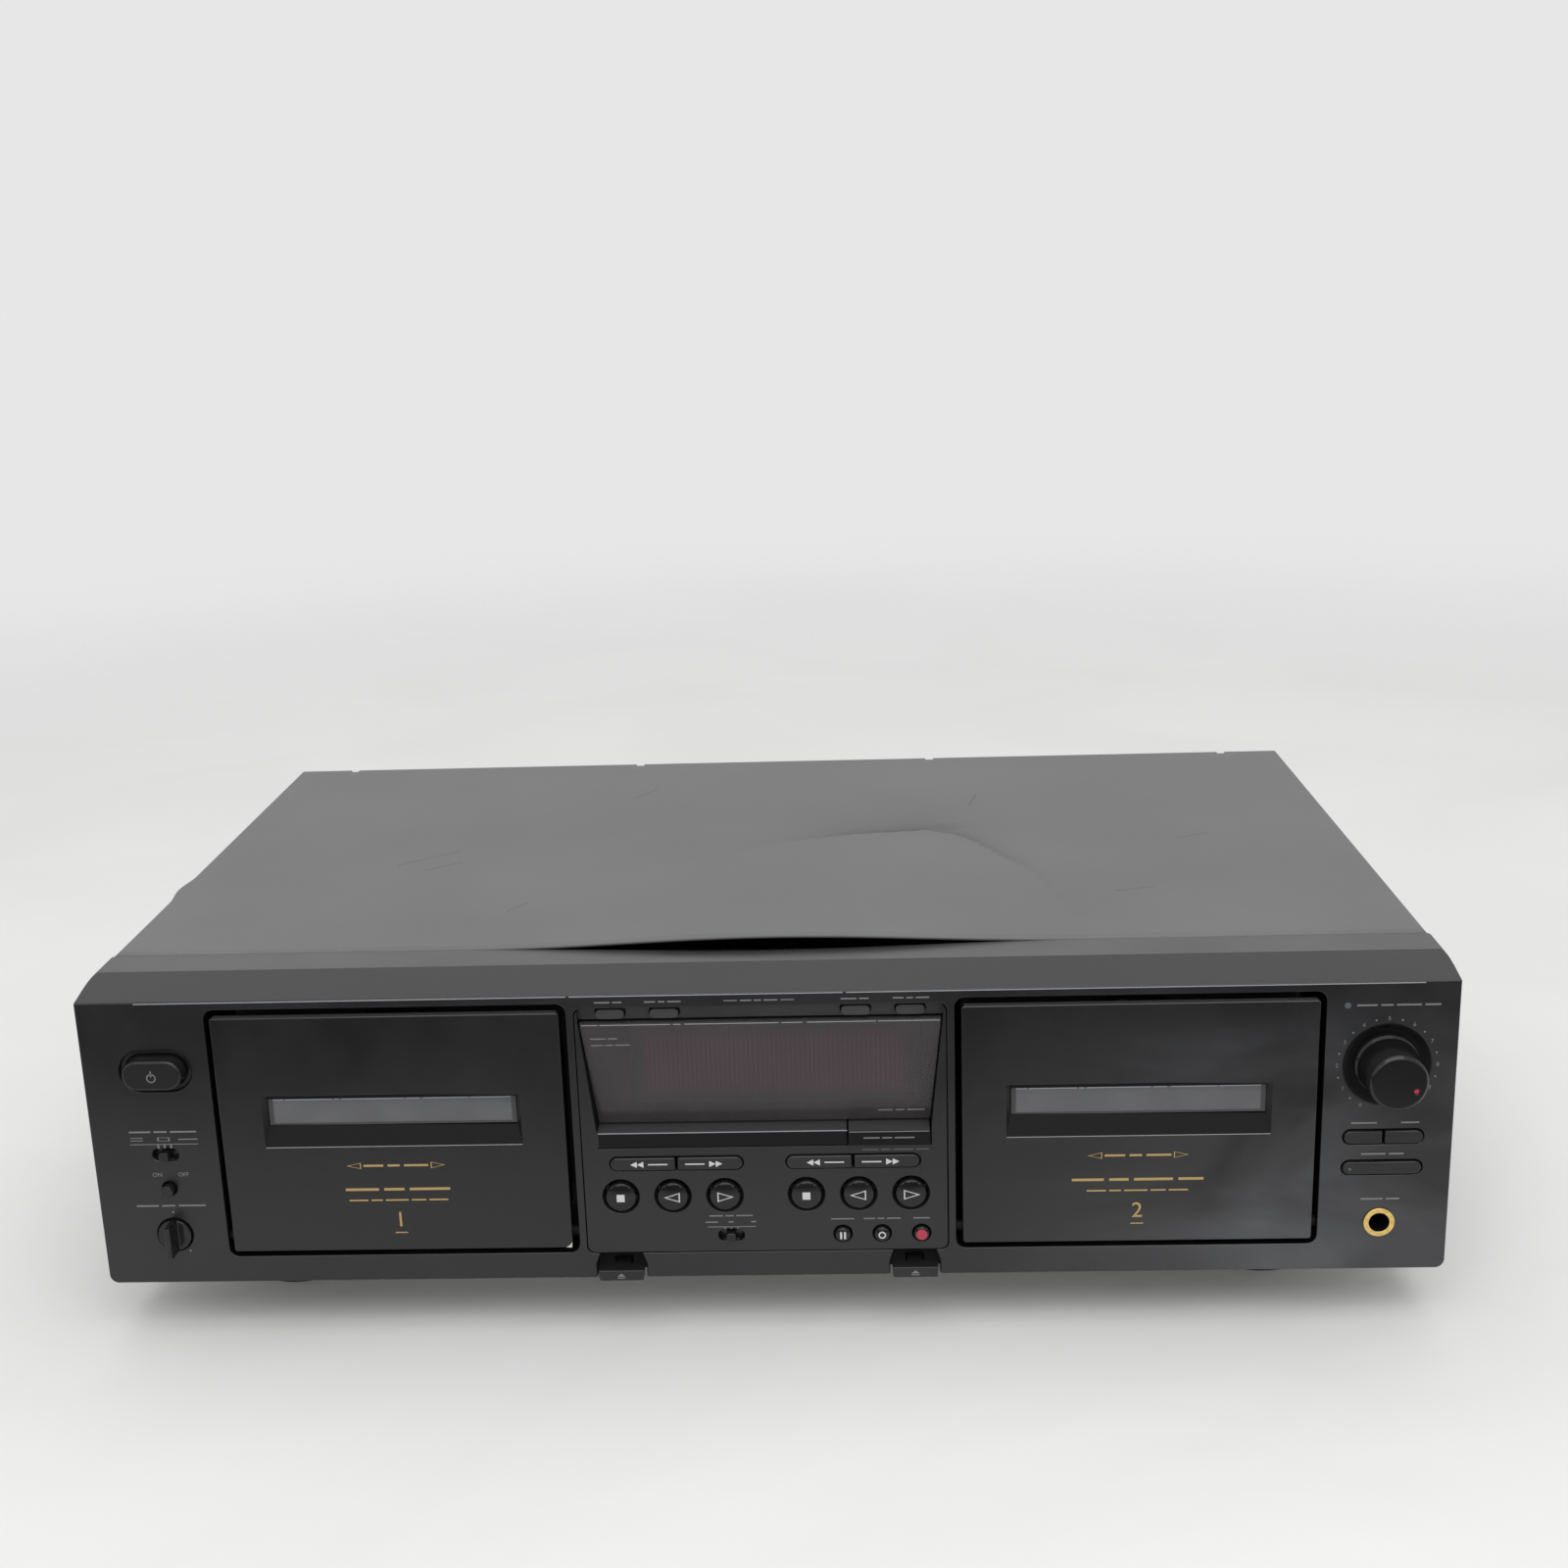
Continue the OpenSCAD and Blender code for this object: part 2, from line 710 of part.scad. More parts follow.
module feet() color([0.1, 0.1, 0.1]) front() for (s = [-1, 1], d = foot_ds) translate([s * foot_x, d, 0])
  rotate_extrude() polygon([
    [0, foot_dish], [foot_ring_r - foot_ring - 1, foot_dish], [foot_ring_r - foot_ring, 0], [foot_ring_r, 0],
    [foot_ring_r + 0.6, 1], [foot_r, foot_h - 2], [foot_r, foot_h], [0, foot_h]
  ]);

module headphone_jack() color([0.85, 0.65, 0.25]) front() translate([right_x, 0, phones_z]) difference() {
  union() {
    rod(phones_r + 1.1, -key_proud, phones_l);
    rod(phones_r + 1.7, -key_proud, 0);
    rod(phones_r + 2.6, wall, wall + 2);
    along_y(wall + 2, phones_l + 2) square(phones_body, center = true);
  }
  rod(phones_r, -cut, phones_l);
}

// Cap with a spherical crown
module domed_cap(r, proud, dome_r) {
  intersection() {
    rod(r, -proud, collar_d0);
    translate([0, dome_r - proud, 0]) sphere(dome_r);
  }
}

// Soft-touch keys: a cap through the front, a collar that keeps it in above and below, a stem to its switch
module round_key(x, z, r, proud, dome_r, stem) front() translate([x, 0, z]) {
  domed_cap(r, proud, dome_r);
  along_y(collar_d0, collar_d1) intersection() {
    circle(r + collar);
    square([2 * r, 3 * r], center = true);
  }
  rod(stem, collar_d1, stem_end);
}

module transport_key(side, place) color([0.1, 0.1, 0.1])
  round_key(side * play_x + place * play_pitch, play_z, play_r, play_proud, play_dome_r, 2);

module dot_key(i) round_key(dot_xs[i], dot_z, dot_r, dot_proud, dot_dome_r, stem_r);

module pause_button() color([0.12, 0.12, 0.12]) dot_key(0);
module record_mute_button() color([0.12, 0.12, 0.12]) dot_key(1);
module record_button() color([0.7, 0.1, 0.1]) dot_key(2);

// One half of a key pair that shares a slot; side is -1 for the left half
module half_key(x, z, w, side, proud) front() translate([x, 0, z]) {
  along_y(-proud, collar_d0) intersection() {
    stadium(w - 2 * fit, slot_h - 2 * fit);
    translate([side > 0 ? fit : -w, -slot_h]) square([w - fit, 2 * slot_h]);
  }
  mirror([side > 0 ? 0 : 1, 0, 0])
    span([fit, collar_d0, -slot_h / 2 - collar_side],
      [w / 2 + collar_side, collar_d1, slot_h / 2 + collar_side]);
  translate([side * w / 4, 0, 0]) rod(stem_r, collar_d1, stem_end);
}

module seek_key(side, way) color([0.16, 0.16, 0.17]) half_key(side * half_x, seek_z, seek_w, way, seek_proud);
module fader_half(side) color([0.16, 0.16, 0.17]) half_key(right_x, fader_z, fader_w, side, key_proud);

module synchro_button() color([0.16, 0.16, 0.17]) front() translate([right_x, 0, synchro_z]) {
  along_y(-key_proud, collar_d0) stadium(fader_w - 2 * fit, slot_h - 2 * fit);
  along_y(collar_d0, collar_d1) square([fader_w + 2 * collar_side, slot_h + 2 * collar_side], center = true);
  rod(stem_r, collar_d1, stem_end);
}

module counter_key(i) color([0.2, 0.2, 0.21]) front() translate([counter_xs[i], 0, counter_z]) {
  along_y(counter_d, panel_back + gap) stadium(counter_w - 2 * fit, counter_h - 2 * fit);
  along_y(panel_back + gap, panel_back + gap + 1)
    square([counter_w - counter_h, counter_h + 2 * collar_side], center = true);
  rod(1.2, panel_back + gap + 1, stem_end);
}

module dubbing_button() color([0.15, 0.15, 0.16]) front() {
  back = recess_d - tap - 0.5;
  span([split_x + fit, -key_proud, bar_z0], [recess_foot_x - fit, back, bar_z1]);
  span([split_x + 8.5, back - 0.1, bar_z0 + 1.4], [split_x + 13.5, stem_end, bar_z1 - 1.4]);
}

module power_button() color([0.18, 0.18, 0.19]) front() translate([left_x, 0, power_z]) {
  along_y(-power_proud, collar_d0) stadium(power_w, power_h);
  along_y(collar_d0, collar_d1 + 0.2) stadium(power_w + 2 * collar, power_h + 2 * collar);
  along_y(collar_d1 + 0.2, board_d - power_travel - 0.6) square(power_stem, center = true);
}

// Slide switch: a peg through the slot on a plate that hides the slot's ends
module slide_key(x, z) front() translate([x, 0, z]) {
  plate_d0 = wall + 0.3;
  along_y(-slide_proud, plate_d0)
    soft_rect(-slide_peg / 2, -slide_peg / 2, slide_peg / 2, slide_peg / 2, 0.6);
  along_y(plate_d0, plate_d0 + 1)
    soft_rect(-slide_plate[0] / 2, -slide_plate[1] / 2, slide_plate[0] / 2, slide_plate[1] / 2, 0.8);
  along_y(plate_d0 + 1, stem_end + tap) square([slide_peg, slide_peg * 0.8], center = true);
}

module direction_switch() color([0.12, 0.12, 0.12]) slide_key(left_x, direction_z);
module noise_switch() color([0.12, 0.12, 0.12]) slide_key(noise_x, dot_z);

module pitch_switch() color([0.12, 0.12, 0.12]) front() translate([left_x, 0, pitch_switch_z]) {
  rod(pitch_switch_r, -pitch_switch_proud, collar_d0);
  rod(pitch_switch_r + collar, collar_d0, collar_d1);
  rod(1.4, collar_d1, board_d - pitch_switch_travel - 0.7);
}

// Small knob: a disc with an upright blade that thins towards its edge
module pitch_knob() color([0.1, 0.1, 0.1]) front() translate([left_x, 0, pitch_z]) {
  rod(pitch_r, -0.8, 1.3);
  intersection() {
    rod(pitch_r, -pitch_proud, 0);
    translate([0, 0, -pitch_r]) linear_extrude(2 * pitch_r) polygon([
      [-pitch_blade / 2, 0], [-pitch_blade / 2 + 0.4, -pitch_proud],
      [pitch_blade / 2 - 0.4, -pitch_proud], [pitch_blade / 2, 0]
    ]);
  }
  rod(shaft_r, 1.2, 6);
}

module level_knob() color([0.1, 0.1, 0.1]) front() translate([right_x, 0, dial_z]) difference() {
  union() {
    turned() polygon([
      [0, -knob_proud], [knob_r - 2, -knob_proud], [knob_r - 1.2, -knob_proud + 0.8],
      [knob_r - 0.9, -1.5], [knob_r, -0.5], [knob_r, knob_skirt], [0, knob_skirt]
    ]);
    rod(shaft_r, knob_skirt - 0.1, 12);
  }
  rotate([0, dot_mark_angle, 0]) translate([0, 0, knob_r - 4.4])
    rod(dot_mark_r, -knob_proud - 0.4, -knob_proud + 0.4);
}

module eject_key(side) color([0.16, 0.16, 0.17]) front() translate([side * eject_x, 0, 0]) {
  along_y(-eject_proud, eject_d) polygon([
    [-eject_w / 2, eject_z0], [-eject_w / 2 - eject_flare, eject_z1],
    [eject_w / 2 + eject_flare, eject_z1], [eject_w / 2, eject_z0]
  ]);
  span([-eject_stem_w / 2, eject_d - 0.1, eject_stem_z0], [eject_stem_w / 2, flange_d - 0.4, eject_stem_z1]);
}

// Shallow cells that lighten the back of a door between two heights
module door_cells(z0, z1) {
  inner_x = deck_w / 2 - door_gap - door_rib;
  cell_w = 2 * inner_x / door_cells;
  for (i = [0 : door_cells - 1]) span([-inner_x + i * cell_w + door_rib / 2, door_wall - door_proud, z0],
    [-inner_x + (i + 1) * cell_w - door_rib / 2, door_d + cut, z1]);
}

// Door with a sloping apron below a recessed pane
module cassette_door(side) color([0.12, 0.12, 0.13]) deck(side) difference() {
  door_z = [deck_z0 + door_gap + 0.3, deck_z1 - door_gap - 0.3];
  along_y(-door_proud, door_d)
    soft_rect(-deck_w / 2 + door_gap, door_z[0], deck_w / 2 - door_gap, door_z[1], door_r);
  intersection() {
    along_x(-slot_x - cut, slot_x + cut) polygon([
      [-door_proud - 0.1, slot_z0], [pane_d, pane_z0], [pane_d, slot_z1], [-door_proud - 0.1, slot_z1]
    ]);
    linear_extrude(case_h) polygon([
      [-slot_x, -door_proud - 0.1], [slot_x, -door_proud - 0.1], [pane_x, pane_d], [-pane_x, pane_d]
    ]);
  }
  span([-pane_x, pane_d - 0.1, pane_z0], [pane_x, door_d + cut, slot_z1]);
  door_cells(door_z[0] + door_rib, slot_z0 - 2 * door_rib);
  door_cells(slot_z1 + 2 * door_rib, door_z[1] - door_rib);
}

module door_window(side) color([0.7, 0.71, 0.72, 0.6]) deck(side)
  span([-pane_x + gap, pane_d, pane_z0 + gap], [pane_x - gap, door_d, slot_z1 - gap]);

// Cradle for one tape: a front plate with its window, two channel rails with a ledge at the foot, trunnions
module cassette_holder(side) color([0.09, 0.09, 0.09]) deck(side) {
  rail_z = [tape_z0 - holder_sill, tape_z0 + tape_h - 4];
  along_y(door_d, tape_d0 - gap) difference() {
    soft_rect(-holder_x, hinge_z + 2, holder_x, tape_z0 + tape_h, door_r);
    translate([-pane_x + holder_sill, pane_z0 + 1.6])
      square([2 * (pane_x - holder_sill), slot_z1 - pane_z0 - 3.3]);
    for (s = [-1, 1]) soft_rect(s * 28 - 14, tape_z0 + 5, s * 28 + 14, slot_z0 - 3, 3);
  }
  both_hands() {
    along_x(holder_x - holder_t, holder_x) polygon([
      [door_d, rail_z[0]], [door_d, rail_z[1]], [holder_back - 4, rail_z[1]],
      [holder_back, rail_z[1] - 8], [holder_back, rail_z[0]]
    ]);
    along_y(tape_d1 + gap, holder_back) polygon([
      [holder_x - holder_lip, rail_z[0]], [holder_x - holder_lip, rail_z[1] - 14],
      [holder_x - holder_t, rail_z[1] - 8], [holder_x, rail_z[1] - 8], [holder_x, rail_z[0]]
    ]);
    span([holder_foot, tape_d0 - 0.3, rail_z[0]], [holder_x, holder_back, tape_z0]);
    along_x(holder_x - 2, holder_x) intersection() {
      translate([door_d, hinge_z - hinge_ear]) square([hinge_d + 4 - door_d, tape_z0 - hinge_z + hinge_ear]);
      union() {
        translate([hinge_d, hinge_z]) circle(4);
        translate([door_d, hinge_z]) square([hinge_d + 4 - door_d, tape_z0 - hinge_z]);
      }
    }
    along_x(holder_x - 0.1, deck_w / 2 + rim_t - 0.5) translate([hinge_d, hinge_z]) circle(trunnion_r);
  }
}

// Pressed plate of a transport, seen from the front
module plate_outline() difference() {
  soft_rect(-frame_x, pan_top + 5, frame_x, plate_top, 2);
  soft_rect(-12, motor_z - 10, 12, plate_top - 4, 2);
  soft_rect(-9, capstan_z + 8, 9, hub_z, 3);
  both_hands() soft_rect(34, hub_z - 16, 46, hub_z + 18, 4);
}

// Cheek that carries the rear yoke, tapering from the plate
module frame_cheek() polygon([
  [plate_d, pan_top + 5], [plate_d, plate_top], [plate_d + 6, plate_top], [yoke_d + yoke_t, motor_z + 12],
  [yoke_d + yoke_t, capstan_z - 8], [plate_d + 8, pan_top + 5]
]);

module transport_frame(side) deck(side) difference() {
  union() {
    along_y(plate_d, plate_d + plate_t) plate_outline();
    both_hands() {
      along_x(frame_x - plate_t, frame_x) frame_cheek();
      span([frame_x - frame_tab, plate_d, pan_top], [frame_x, plate_d + plate_t, pan_top + 6]);
      span([frame_x - frame_tab, plate_d, pan_top], [frame_x, plate_d + frame_tab, pan_top + plate_t]);
      translate([hub_pitch / 2, 0, hub_z]) rod(reel_boss_r, plate_d - 1.4, plate_d + 4);
      translate([capstan_pitch / 2, 0, capstan_z]) rod(capstan_boss_r, plate_d - 1.1, plate_d + 4.8);
      translate([guide_x, 0, head_z0 + 5]) rod(guide_r, plate_d - 3.4, plate_d + cut);
    }
    span([-frame_x + 0.1, yoke_d, capstan_z - 8], [frame_x - 0.1, yoke_d + yoke_t, motor_z + 12]);
  }
  for (s = [-1, 1]) {
    translate([s * hub_pitch / 2, 0, hub_z]) rod(reel_shaft_r + run, plate_d - 4, fly_d + 2);
    translate([s * capstan_pitch / 2, 0, capstan_z]) rod(capstan_r + run, plate_d - 4, yoke_d + 4);
  }
  translate([0, 0, motor_z]) rod(pulley_r + 2, yoke_d - cut, yoke_d + yoke_t + cut);
}

module transport_frames() color([0.6, 0.61, 0.62]) for (s = [-1, 1]) transport_frame(s);

// Motor can behind the yoke, its grooved pulley in front of it
module drive_motors() color([0.7, 0.7, 0.7]) for (s = [-1, 1]) deck(s) translate([0, 0, motor_z]) {
  rim_r = pulley_r + pulley_rim;
  groove = [pulley_d + pulley_rim, pulley_d + pulley_w - pulley_rim];
  can = [motor_d, motor_d + motor_l];
  turned() polygon([
    [0, pulley_d], [rim_r, pulley_d], [rim_r, groove[0]], [pulley_r, groove[0] + 0.2],
    [pulley_r, groove[1] - 0.2], [rim_r, groove[1]], [rim_r, pulley_d + pulley_w],
    [motor_shaft_r, pulley_d + pulley_w], [motor_shaft_r, can[0]],
    [motor_r - 1, can[0]], [motor_r, can[0] + 1], [motor_r, can[1] - 1], [motor_r - 1, can[1]],
    [motor_cap_r, can[1]], [motor_cap_r, can[1] + 2], [0, can[1] + 2]
  ]);
}

// Points along an arc
function arc(c, r, from, to, steps) =
  [for (i = [0 : steps]) let (a = from + (to - from) * i / steps) c + r * [cos(a), sin(a)]];

// Loop round two circles: arcs joined by their outer tangents
function loop_points(c0, r0, c1, r1) =
  let (lean = atan2(c1[1] - c0[1], c1[0] - c0[0]), a = acos((r0 - r1) / norm(c1 - c0)))
  concat(arc(c0, r0, lean + a, lean + 360 - a, 36), arc(c1, r1, lean - a, lean + a, 18));

module belt_loop(grow) {
  polygon(loop_points([-capstan_pitch / 2, capstan_z], flywheel_r + belt_gap + grow,
    [0, motor_z], pulley_r + belt_gap + grow));
}

module drive_belts() color([0.05, 0.05, 0.05]) for (s = [-1, 1]) deck(s)
  along_y(fly_d + fly_t / 2 - belt_w / 2, fly_d + fly_t / 2 + belt_w / 2) difference() {
    belt_loop(belt_t);
    belt_loop(0);
  }

// Reel spindle: a nose with three fins, a disc and a shaft
module reel(side, hand) color([0.85, 0.85, 0.83]) deck(side) translate([hand * hub_pitch / 2, 0, hub_z]) {
  disc_d = plate_d - 4.2;
  turned() polygon([
    [0, 5.6], [1.6, 5.6], [reel_nose_r, 8], [reel_nose_r, disc_d], [reel_disc_r - 0.5, disc_d],
    [reel_disc_r, disc_d + 0.5], [reel_disc_r, disc_d + 2], [reel_boss_r - gap, disc_d + 2],
    [reel_boss_r - gap, plate_d - 1.7], [reel_shaft_r, plate_d - 1.7],
    [reel_shaft_r, plate_d + 4.3], [0, plate_d + 4.3]
  ]);
  for (i = [0 : 2]) rotate([0, i * 120, 0]) span([-reel_fin / 2, 9, 1], [reel_fin / 2, 18, 4.4]);
}

// Capstan shaft with its flywheel, dished in front
module capstan(side, hand) color([0.72, 0.7, 0.66]) deck(side)
  translate([hand * capstan_pitch / 2, 0, capstan_z]) {
    turned() polygon([
      [0, 6], [capstan_r, 6.4], [capstan_r, fly_d - 0.9], [fly_hub_r, fly_d - 0.9], [fly_hub_r, fly_d],
      [flywheel_r - 5, fly_d + 2.4], [flywheel_r - 4, fly_d], [flywheel_r, fly_d],
      [flywheel_r, fly_d + fly_t], [fly_hub_r, fly_d + fly_t], [fly_hub_r, yoke_d - 0.3],
      [capstan_r, yoke_d - 0.3], [capstan_r, yoke_d + 3], [0, yoke_d + 3]
    ]);
  }

// Sliding plate of the heads, with the slots for its two guide studs
module carriage_outline() difference() {
  soft_rect(-head_x, head_z0, head_x, capstan_z - 11, 2);
  for (s = [-1, 1]) translate([s * guide_x, head_z0 + 5 - head_lift / 2])
    square([2 * guide_r + 0.6, head_lift + 4], center = true);
  translate([0, head_z0 + 3]) stadium(14, 4);
}

module head_carriage(side) color([0.66, 0.67, 0.68]) deck(side) {
  along_y(head_d, head_d + head_t) carriage_outline();
  span([-8, head_face_d, capstan_z - 18], [8, head_d + 0.1, capstan_z - 12]);
  along_y(head_face_d, head_face_d + 5.5) difference() {
    translate([0, capstan_z - 12]) {
      circle(head_face_r);
      translate([-head_face_r, -4]) square([2 * head_face_r, 4]);
    }
    translate([-7, capstan_z - 26]) square([14, 12]);
  }
  for (s = [-1, 1]) translate([s * capstan_pitch / 2, 0, 0]) {
    along_y(head_d - 3.2, head_d + 0.1) {
      translate([-3, capstan_z - 20]) square([6, roller_z - capstan_z + 20]);
      translate([0, roller_z]) circle(3.2);
    }
    translate([0, 0, roller_z]) {
      rod(roller_r, head_face_d, head_face_d + roller_w);
      rod(1.2, head_face_d - 1, head_d - 3.1);
    }
  }
}

module capacitor() rotate_extrude() polygon([
  [0, 0], [cap_r, 0], [cap_r, cap_h - 5], [cap_r - 0.7, cap_h - 4.2], [cap_r, cap_h - 3.4],
  [cap_r, cap_h - 0.6], [cap_r - 0.6, cap_h], [0, cap_h]
]);

// Extruded heat sink, its fins seen from above
module heat_sink() linear_extrude(sink_h) {
  square([sink_w, 3]);
  for (x = [0 : sink_pitch : sink_w - 1]) translate([x, 0]) square([1.5, sink_fin]);
}

module tact_switch(x, z) translate([x, 0, z])
  along_y(board_d - tact_t, board_d + tact_t) square(tact_w, center = true);

module panel_board() {
  span([-panel_x + 1, board_d, panel_z0 + 2], [panel_x - 1, board_d + board_t, panel_z1]);
  span([tube_xs[0], recess_d + 0.6, window_z0 + 6], [tube_xs[1], board_d, window_z1 - 5]);
  for (s = [-1, 1], i = [-1, 0, 1]) tact_switch(s * play_x + i * play_pitch, play_z);
  for (s = [-1, 1], w = [-1, 1]) tact_switch(s * half_x + w * seek_w / 4, seek_z);
  for (x = dot_xs) tact_switch(x, dot_z);
}

module side_boards() {
  span([left_x - 12, board_d, pitch_z - 8], [left_x + 12, board_d + board_t, power_z + 8]);
  span([right_x - 13, board_d, synchro_z - 10], [right_x + 13, board_d + board_t, dial_z + 14]);
  for (s = [-1, 1]) tact_switch(right_x + s * fader_w / 4, fader_z);
  tact_switch(right_x, synchro_z);
  translate([right_x, 0, dial_z]) difference() {
    rod(pot_r, pot_d, board_d + cut);
    rod(shaft_r + 0.3, pot_d - cut, 13);
  }
}

module main_board() {
  span([main_x0, main_d0, pan_top + main_lift], [main_x1, main_d1, main_top]);
  for (x = [main_x0 + spacer_in, main_x1 - 2 * spacer_in], d = [main_d0 + spacer_in, main_d1 - spacer_in])
    translate([x, d, pan_top]) cylinder(h = main_lift + board_t / 2, r = spacer_r);
  translate([main_x0 + 70, main_d0 + 20, main_top]) heat_sink();
  for (i = [0, 1]) translate([main_x0 + 30 + i * 20, main_d1 - 38, main_top]) capacitor();
  for (i = [0 : 2]) translate([main_x0 + 120 + i * 40, (main_d0 + main_d1) / 2, main_top])
    linear_extrude(chip_t) square([chip_w, chip_w / 3], center = true);
}

module circuit_boards() color([0.22, 0.35, 0.2]) front() {
  panel_board();
  side_boards();
  main_board();
}

// Stacked core round a wound bobbin, held by a clamp with two feet
module power_transformer() color([0.45, 0.42, 0.4]) front() translate([core_x, core_d, pan_top]) {
  linear_extrude(clamp_t) soft_rect(-clamp_w / 2, -coil_t / 2, clamp_w / 2, coil_t / 2, 3);
  along_y(-core_t / 2, core_t / 2) translate([-core_w / 2, clamp_t - 0.1]) square([core_w, core_h + 0.1]);
  along_y(-coil_t / 2, coil_t / 2) soft_rect(-coil_w / 2, 8, coil_w / 2, 8 + coil_h, coil_r);
  for (s = [-1, 1]) along_y(s * (core_t / 2 + 1) - 1, s * (core_t / 2 + 1) + 1)
    soft_rect(-coil_w / 2 - 3, 5, coil_w / 2 + 3, 11 + coil_h, 2);
}

front_bezel();
control_panel();
display_window();
chassis_pan();
rear_panel();
top_cover();
case_screws();
feet();
transport_frames();
drive_motors();
drive_belts();
circuit_boards();
power_transformer();
line_jacks();
headphone_jack();
cassette_door(-1);  // cassette_door_a
door_window(-1);  // door_window_a
cassette_holder(-1);  // cassette_holder_a
cassette_door(1);  // cassette_door_b
door_window(1);  // door_window_b
cassette_holder(1);  // cassette_holder_b
reel(-1, -1);  // left_reel_a
reel(-1, 1);  // right_reel_a
reel(1, -1);  // left_reel_b
reel(1, 1);  // right_reel_b
capstan(-1, -1);  // left_capstan_a
capstan(-1, 1);  // right_capstan_a
capstan(1, -1);  // left_capstan_b
capstan(1, 1);  // right_capstan_b
head_carriage(-1);  // head_carriage_a
head_carriage(1);  // head_carriage_b
power_button();
direction_switch();
pitch_switch();
pitch_knob();
level_knob();
counter_key(0);  // counter_reset_a
counter_key(1);  // counter_memory_a
counter_key(2);  // counter_reset_b
counter_key(3);  // counter_memory_b
seek_key(-1, -1);  // rewind_a
seek_key(-1, 1);  // forward_a
seek_key(1, -1);  // rewind_b
seek_key(1, 1);  // forward_b
transport_key(-1, -1);  // stop_a
transport_key(-1, 0);  // reverse_a
transport_key(-1, 1);  // play_a
transport_key(1, -1);  // stop_b
transport_key(1, 0);  // reverse_b
transport_key(1, 1);  // play_b
pause_button();
record_mute_button();
record_button();
noise_switch();
dubbing_button();
fader_half(-1);  // fader_button
fader_half(1);  // auto_level_button
synchro_button();
eject_key(-1);  // eject_a
eject_key(1);  // eject_b
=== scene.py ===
# %% [markdown]
# # A double cassette deck, dressed for its photograph
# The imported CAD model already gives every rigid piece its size, place and motion.
# What it lacks is the look of a used hi-fi component: moulded edges that catch the light,
# satin plastic, a painted steel cover with a bowed front edge, smoked and silvered windows,
# printed marks, and the pale studio around it.
# The model is loaded once as a fixed frame, and every piece made below rides on one of its bodies.

import json
import math

import bmesh
import bpy
from mathutils import Matrix, Vector


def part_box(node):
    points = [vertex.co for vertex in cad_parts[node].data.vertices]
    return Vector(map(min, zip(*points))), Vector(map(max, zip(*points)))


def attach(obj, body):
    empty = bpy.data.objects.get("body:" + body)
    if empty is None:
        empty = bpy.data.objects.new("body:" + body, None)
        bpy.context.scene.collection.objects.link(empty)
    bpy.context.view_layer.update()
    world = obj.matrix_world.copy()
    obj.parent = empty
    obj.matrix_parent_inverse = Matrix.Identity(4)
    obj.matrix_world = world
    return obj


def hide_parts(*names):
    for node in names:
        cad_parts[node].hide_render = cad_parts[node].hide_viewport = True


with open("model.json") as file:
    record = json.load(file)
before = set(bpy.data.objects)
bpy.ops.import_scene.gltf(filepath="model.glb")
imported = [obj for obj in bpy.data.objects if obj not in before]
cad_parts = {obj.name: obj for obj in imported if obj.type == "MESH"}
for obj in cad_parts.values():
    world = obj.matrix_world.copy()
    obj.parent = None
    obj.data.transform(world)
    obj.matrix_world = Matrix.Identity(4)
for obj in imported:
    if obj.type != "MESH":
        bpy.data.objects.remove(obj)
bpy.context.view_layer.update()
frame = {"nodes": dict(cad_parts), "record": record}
nodes = frame["nodes"]
record = frame["record"]
body_of = {node: body for body, members in record["behaviour"]["bodies"].items() for node in members}
slot_of = {part["node"]: part["material_slot"] for part in record["subparts"]}
scene = bpy.context.scene

# %% [markdown]
# ## One ruler for the front
# Everything on the front is read as a drawing: x to the right, z up from the table, and a depth
# counted back from the front face, all in millimetres. One function turns such a reading into a
# place in the scene, so the numbers below stay as they would be written on a drawing. The left and
# right columns of controls and the two eject keys are centred on the x values named here.

# %% The ruler
MM = 0.001
LEFT_X, RIGHT_X, EJECT_X = -191.6, 193.6, 47.2
face_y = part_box("front_bezel")[0][1]


def place(x, depth, z):
    return Vector((x * MM, face_y + depth * MM, z * MM))


case_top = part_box("top_cover")[1][2] / MM
print("front face at y =", round(face_y, 4), "m, cover top at", round(case_top, 1), "mm")

# %% [markdown]
# ## Camera
# The photograph looks down on the deck from a little right of its middle, and it is held a bit
# askew. The place, the turn and the lens were found by fitting the deck's straight edges, so they
# are written as plain numbers: three angles give the camera's right and upward directions.

# %% Camera
CAMERA_PLACE = Vector((0.0325, -0.6983, 0.3397))
PITCH, YAW, ROLL = math.radians(15.42), math.radians(2.27), math.radians(-1.82)
LENS, SENSOR = 45.19, 36

level = Vector((math.cos(YAW), math.sin(YAW), 0))
rise = Vector((-math.sin(YAW) * math.sin(PITCH), math.cos(YAW) * math.sin(PITCH), math.cos(PITCH)))
right = math.cos(ROLL) * level + math.sin(ROLL) * rise
up = math.cos(ROLL) * rise - math.sin(ROLL) * level
turn = Matrix((right, up, right.cross(up))).transposed().to_4x4()
camera = bpy.data.objects.new("camera", bpy.data.cameras.new("camera"))
camera.data.lens = LENS
camera.data.sensor_width = SENSOR
camera.matrix_world = Matrix.Translation(CAMERA_PLACE) @ turn
scene.collection.objects.link(camera)
scene.camera = camera
print("camera lens", round(camera.data.lens, 2), "mm")

# %% [markdown]
# ## Node helpers
# A material is a small graph, and short functions keep the graphs readable. One adds a node and sets
# its sockets, one runs a wire, and one does arithmetic on terms that are constants or pairs of a node
# and its output. Patterns read Object coordinates, which are metres in the shared frame, so a grain
# of half a millimetre is a noise scale of about two thousand.

# %% Node helpers
VECTORS = "ShaderNodeVectorMath"


